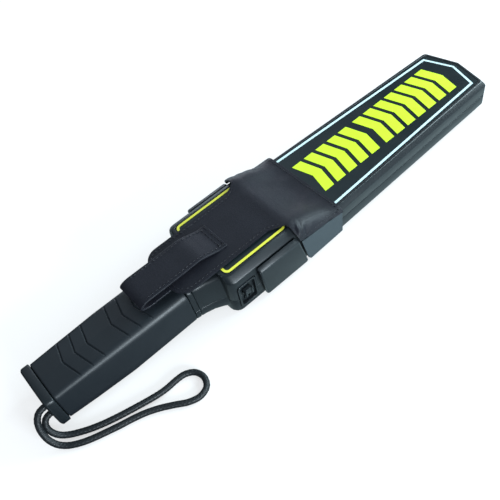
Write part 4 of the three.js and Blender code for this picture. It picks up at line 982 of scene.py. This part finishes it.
def hide_reach(x):
    """Half the hide's cut width at stations x: the cover's flap, its step, the tongue and its end.

    The tongue ends in two quarter circles: the width less radius - sqrt(radius^2 - way past^2).
    """
    narrow = np.interp(-x, [15 * MM, 22 * MM, 29 * MM], [30 * MM, 26 * MM, TONGUE_HALF])
    step = eased((x - FLAP_REAR) / (FLAP_TURN - FLAP_REAR))
    reach = narrow + (side_reach(np.maximum(x, FLAP_TURN)) - narrow) * step
    past = np.maximum(TONGUE_BEND - x, 0)
    return reach - TONGUE_RADIUS + np.sqrt(np.maximum(TONGUE_RADIUS**2 - past**2, 0))


def leather_cover():
    """Cover and tongue in one hide: a grid over stations x and shares of the reach to each side."""
    across = np.linspace(-1, 1, 141)
    turn = np.linspace(0, np.pi / 2, 16)[1:]
    x = np.concatenate(
        [
            np.linspace(HOLSTER_FRONT, FLAP_TURN, 82),
            np.linspace(FLAP_TURN, FLAP_REAR, 14)[1:],
            np.linspace(FLAP_REAR, TONGUE_BEND, 110)[1:],
            TONGUE_BEND - TONGUE_RADIUS * np.sin(turn),
        ]
    )
    reach = hide_reach(x)
    s = reach[:, None] * across[None, :]
    stations = np.broadcast_to(x[:, None], s.shape)
    mesh = grid_mesh("leather_cover", hide_point(stations, s))
    cover = thick_sheet(mesh, "leather", LEATHER, "leather", "holster_cover")
    flat = (2 * float(reach.max()), HOLSTER_FRONT - TONGUE_END)
    return cover, flat, float(2 * np.trapz(reach, -x))


def stitches(name, path, normals):
    """A row of thread stitches along a path on a surface: each a capsule bowed down at its ends.

    With u along a stitch, its round section shrinks as the square root of 1 - u^4, and it dips
    by a parabola in u.
    """
    run = run_along(path)
    count = int(run[-1] // STITCH_PITCH)
    middles = (np.arange(count) + 0.5) * run[-1] / count
    u = np.linspace(-1, 1, 7)
    turn = np.linspace(0, 2 * np.pi, 8, endpoint=False)
    where = middles[:, None] + u[None, :] * STITCH_LENGTH / 2
    spine = np.stack([np.interp(where, run, path[:, k]) for k in range(3)], axis=-1)
    out = np.stack([np.interp(where, run, normals[:, k]) for k in range(3)], axis=-1)
    side = unit(np.cross(unit(np.gradient(spine, axis=1)), out))
    thick = STITCH_GIRTH / 2 * np.sqrt(np.maximum(1 - u**4, 0.02))
    spine = spine + out * (STITCH_GIRTH / 2 - STITCH_SINK - STITCH_BOW * (u**2)[None, :, None])
    ring = side[:, :, None] * np.cos(turn)[:, None] + out[:, :, None] * np.sin(turn)[:, None]
    points = spine[:, :, None] + ring * thick[None, :, None, None]
    shifts = np.arange(count)[:, None, None, None] * len(u) * len(turn)
    faces = (grid_faces(len(u), len(turn), ring=True)[None] + shifts).reshape(-1, 4)
    mesh = bpy.data.meshes.new(name)
    mesh.from_pydata(points.reshape(-1, 3).tolist(), [], faces.tolist())
    mesh.shade_smooth()
    mesh.materials.append(MATERIALS["thread"])
    return finish(add_object(name, mesh), "holster", "leather")


def hide_row(x, s):
    """A path on the hide's outer face and its directions out, for a row of stitches."""
    normals = hide_normal(x, s)
    return hide_point(x, s) + normals * LEATHER / 2, normals


def hide_seams():
    """Stitch rows along the tongue's sides and the flaps, round the tongue's end and at the front."""
    rows = []
    for side in (-1, 1):
        x = np.linspace(FLAP_REAR - 2 * MM, TONGUE_BEND, 150)
        rows.append(stitches("tongue_seam", *hide_row(x, side * (hide_reach(x) - SEAM_INSET))))
        x = np.linspace(HOLSTER_FRONT - SEAM_INSET, FLAP_REAR + SEAM_INSET, 80)
        rows.append(stitches("flap_seam", *hide_row(x, side * (hide_reach(x) - SEAM_INSET))))
    turn = np.linspace(-np.pi / 2, np.pi / 2, 120)
    radius = TONGUE_RADIUS - SEAM_INSET
    s = np.sign(turn) * (TONGUE_HALF - TONGUE_RADIUS) + radius * np.sin(turn)
    rows.append(stitches("tongue_end_seam", *hide_row(TONGUE_BEND - radius * np.cos(turn), s)))
    reach = float(hide_reach(np.array([HOLSTER_FRONT]))[0]) - SEAM_INSET
    s = np.linspace(-reach, reach, 160)
    rows.append(stitches("front_seam", *hide_row(HOLSTER_FRONT - SEAM_INSET + 0 * s, s)))
    return rows


def strap_seams():
    """Stitch rows along the strap's edges and two across its root, where it is sewn to the tongue."""
    rows = []
    line = strap_line()
    run = run_along(line)
    sewn = run < STRAP_SEAM_RUN
    tangent = unit(np.gradient(line, axis=0))
    up = np.stack([tangent[:, 1], 0 * run, -tangent[:, 0]], axis=1)
    reach = STRAP_HALF_WIDTH - STRAP_SEAM_INSET
    for side in (-1, 1):
        path = np.stack([line[:, 0], side * reach + 0 * run, line[:, 1]], axis=1) + up * LEATHER / 2
        rows.append(stitches("strap_seam", path[sewn], up[sewn]))
    y = np.linspace(-reach, reach, 60)
    for x in STRAP_ROOT_SEAMS:
        path = np.stack([x + 0 * y, y, STRAP_LOW + LEATHER / 2 + 0 * y], axis=1)
        rows.append(stitches("strap_root_seam", path, np.tile([0.0, 0.0, 1.0], (len(y), 1))))
    return rows


def thick_sheet(mesh, finish_name, thickness, slot, *nodes):
    """A sheet of the holster given its thickness both ways from its middle, its cut edges eased."""
    weld(mesh)
    mesh.materials.append(MATERIALS[finish_name])
    piece = add_object(mesh.name, mesh)
    wall = piece.modifiers.new("thickness", "SOLIDIFY")
    wall.thickness = thickness
    wall.offset = 0
    edge = piece.modifiers.new("eased edge", "BEVEL")
    edge.width = thickness * 0.28
    edge.segments = 2
    edge.limit_method = "ANGLE"
    edge.angle_limit = math.radians(50)
    edge.use_clamp_overlap = True
    return finish(piece, "holster", slot, *nodes)


def elastic_band():
    """Elastic under the paddle's root: down one side, across below and up the other.

    Its corners are quarter circles. It leans back with height, most at its rear edge and not in front.
    """
    x = np.linspace(BAND_REAR, HOLSTER_FRONT, 60)
    half = paddle_half(x) + SEAT_GAP + BAND_OFF
    top = flap_edge(x) - SEAT_GAP
    low, corner = BAND_BOTTOM, BAND_CORNER
    t = np.linspace(0, 1, 30)
    turn = np.linspace(0, np.pi / 2, 8)[1:-1]
    side_z = top[:, None] + (low + corner - top[:, None]) * t[None, :]
    side_y = np.broadcast_to(half[:, None], side_z.shape)
    round_y = half[:, None] - corner * (1 - np.cos(turn))[None, :]
    round_z = np.broadcast_to(low + corner * (1 - np.sin(turn))[None, :], round_y.shape)
    under_y = (half[:, None] - corner) * np.linspace(1, -1, 61)[None, :]
    under_z = np.full(under_y.shape, low)
    y = np.concatenate([side_y, round_y, under_y, -round_y[:, ::-1], -side_y[:, ::-1]], axis=1)
    z = np.concatenate([side_z, round_z, under_z, round_z[:, ::-1], side_z[:, ::-1]], axis=1)
    climb = np.clip((z - 4.6 * MM) / (35.8 * MM), 0, 1)
    lean = climb * BAND_LEAN + eased(z / (3 * MM) - 1) * BAND_FOOT_LEAN
    fade = (HOLSTER_FRONT - x[:, None]) / (HOLSTER_FRONT - BAND_REAR)
    stations = x[:, None] - lean * fade
    points = np.stack([stations, y, z], axis=-1)
    along = np.cumsum(np.linalg.norm(np.diff(points, axis=1, prepend=points[:, :1]), axis=-1), axis=1)
    uv = np.stack([stations, along], axis=-1)
    mesh = grid_mesh("elastic_band", points, uv)
    flat = (HOLSTER_FRONT - BAND_REAR, float(np.mean(along[:, -1])))
    return thick_sheet(mesh, "elastic", BAND_THICKNESS, "elastic", "holster_band"), flat


def strap_line():
    """The belt strap's centre line in x and z: up from its stitched end, back and round the fold.

    The fold is half an ellipse.
    """
    low, high, under = STRAP_LOW, STRAP_HIGH, STRAP_UNDER
    half_rise = (high - under) / 2
    turn = np.linspace(0, np.pi, 15)
    fold_x = STRAP_REAR + STRAP_FOLD - STRAP_FOLD * np.sin(turn)
    fold = np.stack([fold_x, under + half_rise + half_rise * np.cos(turn)], axis=1)
    rise = [(STRAP_FRONT, low), (-62 * MM, low), (-70 * MM, (low + high) / 2), (-78 * MM, high)]
    level = [(-92 * MM, high), (-106 * MM, high)]
    back = [(-112 * MM, under), (-104.4 * MM, under)]
    return spline(np.array([*rise, *level, *fold, *back]), 220)


def belt_strap():
    """Belt strap: its line in x and z swept across the width.

    Its edges are bent down by the fourth power of the share of the half width.
    """
    line = strap_line()
    across = np.linspace(-1, 1, 41)
    x = np.broadcast_to(line[:, :1], (len(line), len(across)))
    z = line[:, 1:] - STRAP_BEND * np.abs(across[None, :]) ** 4
    y = np.broadcast_to(STRAP_HALF_WIDTH * across[None, :], x.shape)
    mesh = grid_mesh("belt_strap", np.stack([x, y, z], axis=-1))
    flat = (2 * STRAP_HALF_WIDTH, float(run_along(line)[-1]))
    return thick_sheet(mesh, "leather", LEATHER, "leather", "belt_loop"), flat


# Stage and lights

FLOOR_HALF = 3.0
# Where along x the floor's painted reflection goes from grey to pale, and its two colours
PAINTED_REFLECTION_FROM = -0.17
PAINTED_REFLECTION_TO = 0.04
PAINTED_REFLECTION_GREY = (0.03, 0.035, 0.045)
PAINTED_REFLECTION_PALE = (0.7, 0.94, 1.0)
FLOOR_GLOW = 0.6

# Each lamp's name, its place, its width and height in metres, its watts and its colour
LAMPS = [
    ("key lamp", (0.1, 0.75, 0.9), (1.1, 0.9), 1.6, (0.8, 0.91, 1)),
    ("front lamp", (-0.05, -0.85, 0.34), (0.36, 0.2), 10.0, (0.8, 0.92, 1)),
    ("tip lamp", (0.9, -0.18, 0.52), (0.7, 0.5), 14.0, (0.74, 0.93, 1)),
    ("rear lamp", (0.5, 1, 0.16), (0.9, 0.26), 3.0, (0.86, 0.87, 1)),
]
LAMPS_AIM = (-0.02, 0, 0.02)


def white_floor():
    """A white floor that keeps the shadow and glows a little to the camera.

    Reflections see a painted reflection on it, grey under the grip and pale under the paddle,
    standing in for cards beside a product, so the grip's flank stays dark and the paddle's catches light.
    """
    mesh = bpy.data.meshes.new("floor")
    corners = [(x * FLOOR_HALF, y * FLOOR_HALF, 0) for x, y in ((-1, -1), (1, -1), (1, 1), (-1, 1))]
    mesh.from_pydata(corners, [], [(0, 1, 2, 3)])
    add_object("floor", mesh)
    material = bpy.data.materials.new("white floor")
    material.use_nodes = True
    material.node_tree.nodes.clear()
    g = Graph(material.node_tree)
    rays = g.add("ShaderNodeLightPath").outputs
    split = g.add("ShaderNodeSeparateXYZ")
    g.link(g.add("ShaderNodeTexCoord").outputs["Object"], split.inputs[0])
    along = g.remap(split.outputs[0], PAINTED_REFLECTION_FROM, PAINTED_REFLECTION_TO, 0.0, 1.0)
    # Painted reflection: a glow that only glossy rays see, grey under the grip and pale under the paddle
    painted_reflection = g.shade("ShaderNodeEmission", g.mix(along, PAINTED_REFLECTION_GREY, PAINTED_REFLECTION_PALE))
    paper = g.shade("ShaderNodeBsdfDiffuse", (0.88, 0.88, 0.88))
    white = g.shade("ShaderNodeEmission", (1, 1, 1))
    seen = g.math("MAXIMUM", rays["Is Camera Ray"], rays["Is Transmission Ray"])
    ground = g.blend(g.math("MULTIPLY", seen, FLOOR_GLOW), paper, white)
    g.link(g.blend(rays["Is Glossy Ray"], ground, painted_reflection), g.add("ShaderNodeOutputMaterial").inputs[0])
    mesh.materials.append(material)


def surround():
    """A surround that is white to the camera, dim to reflections and soft light to all else."""
    world = bpy.data.worlds.new("surround")
    bpy.context.scene.world = world
    world.use_nodes = True
    world.node_tree.nodes.clear()
    g = Graph(world.node_tree)
    rays = g.add("ShaderNodeLightPath").outputs
    soft = g.shade("ShaderNodeBackground", (0.86, 0.94, 1), Strength=0.8)
    dim = g.shade("ShaderNodeBackground", (0.62, 0.8, 1), Strength=0.15)
    white = g.shade("ShaderNodeBackground", (1, 1, 1))
    unseen = g.blend(rays["Is Glossy Ray"], soft, dim)
    g.link(g.blend(rays["Is Camera Ray"], unseen, white), g.add("ShaderNodeOutputWorld").inputs[0])


def lamps():
    """Soft rectangular lamps that all face the wand."""
    for name, place, (wide, tall), power, colour in LAMPS:
        light = bpy.data.lights.new(name, "AREA")
        light.shape = "RECTANGLE"
        light.size = wide
        light.size_y = tall
        light.energy = power
        light.color = colour
        lamp = bpy.data.objects.new(name, light)
        bpy.context.scene.collection.objects.link(lamp)
        lamp.location = place
        lamp.rotation_euler = (Vector(LAMPS_AIM) - Vector(place)).to_track_quat("-Z", "Y").to_euler()


# The whole scene

scene_camera()
braided_cord()
dress_solids()
softened("upper_shell", "wand", 0.4 * MM)
softened("lower_shell", "wand", 0.4 * MM)
grip_piece()
softened("end_cap", "cap", 0.5 * MM)
softened("side_pad", "wand", 0.6 * MM)
softened("sensitivity_button", "push_pad", 0.6 * MM)
softened("switch_bezel", "wand", 0.3 * MM)
# The knob takes the lighter edge finish: wear, and a painted highlight on its faces
softened("slide_switch_knob", "knob", 0.25 * MM, "worn_and_highlit_abs")
cover, cover_flat, cover_area = leather_cover()
band, band_flat = elastic_band()
strap, strap_flat = belt_strap()
seams = hide_seams() + strap_seams()
bpy.context.scene.view_settings.view_transform = "Standard"
white_floor()
surround()
lamps()
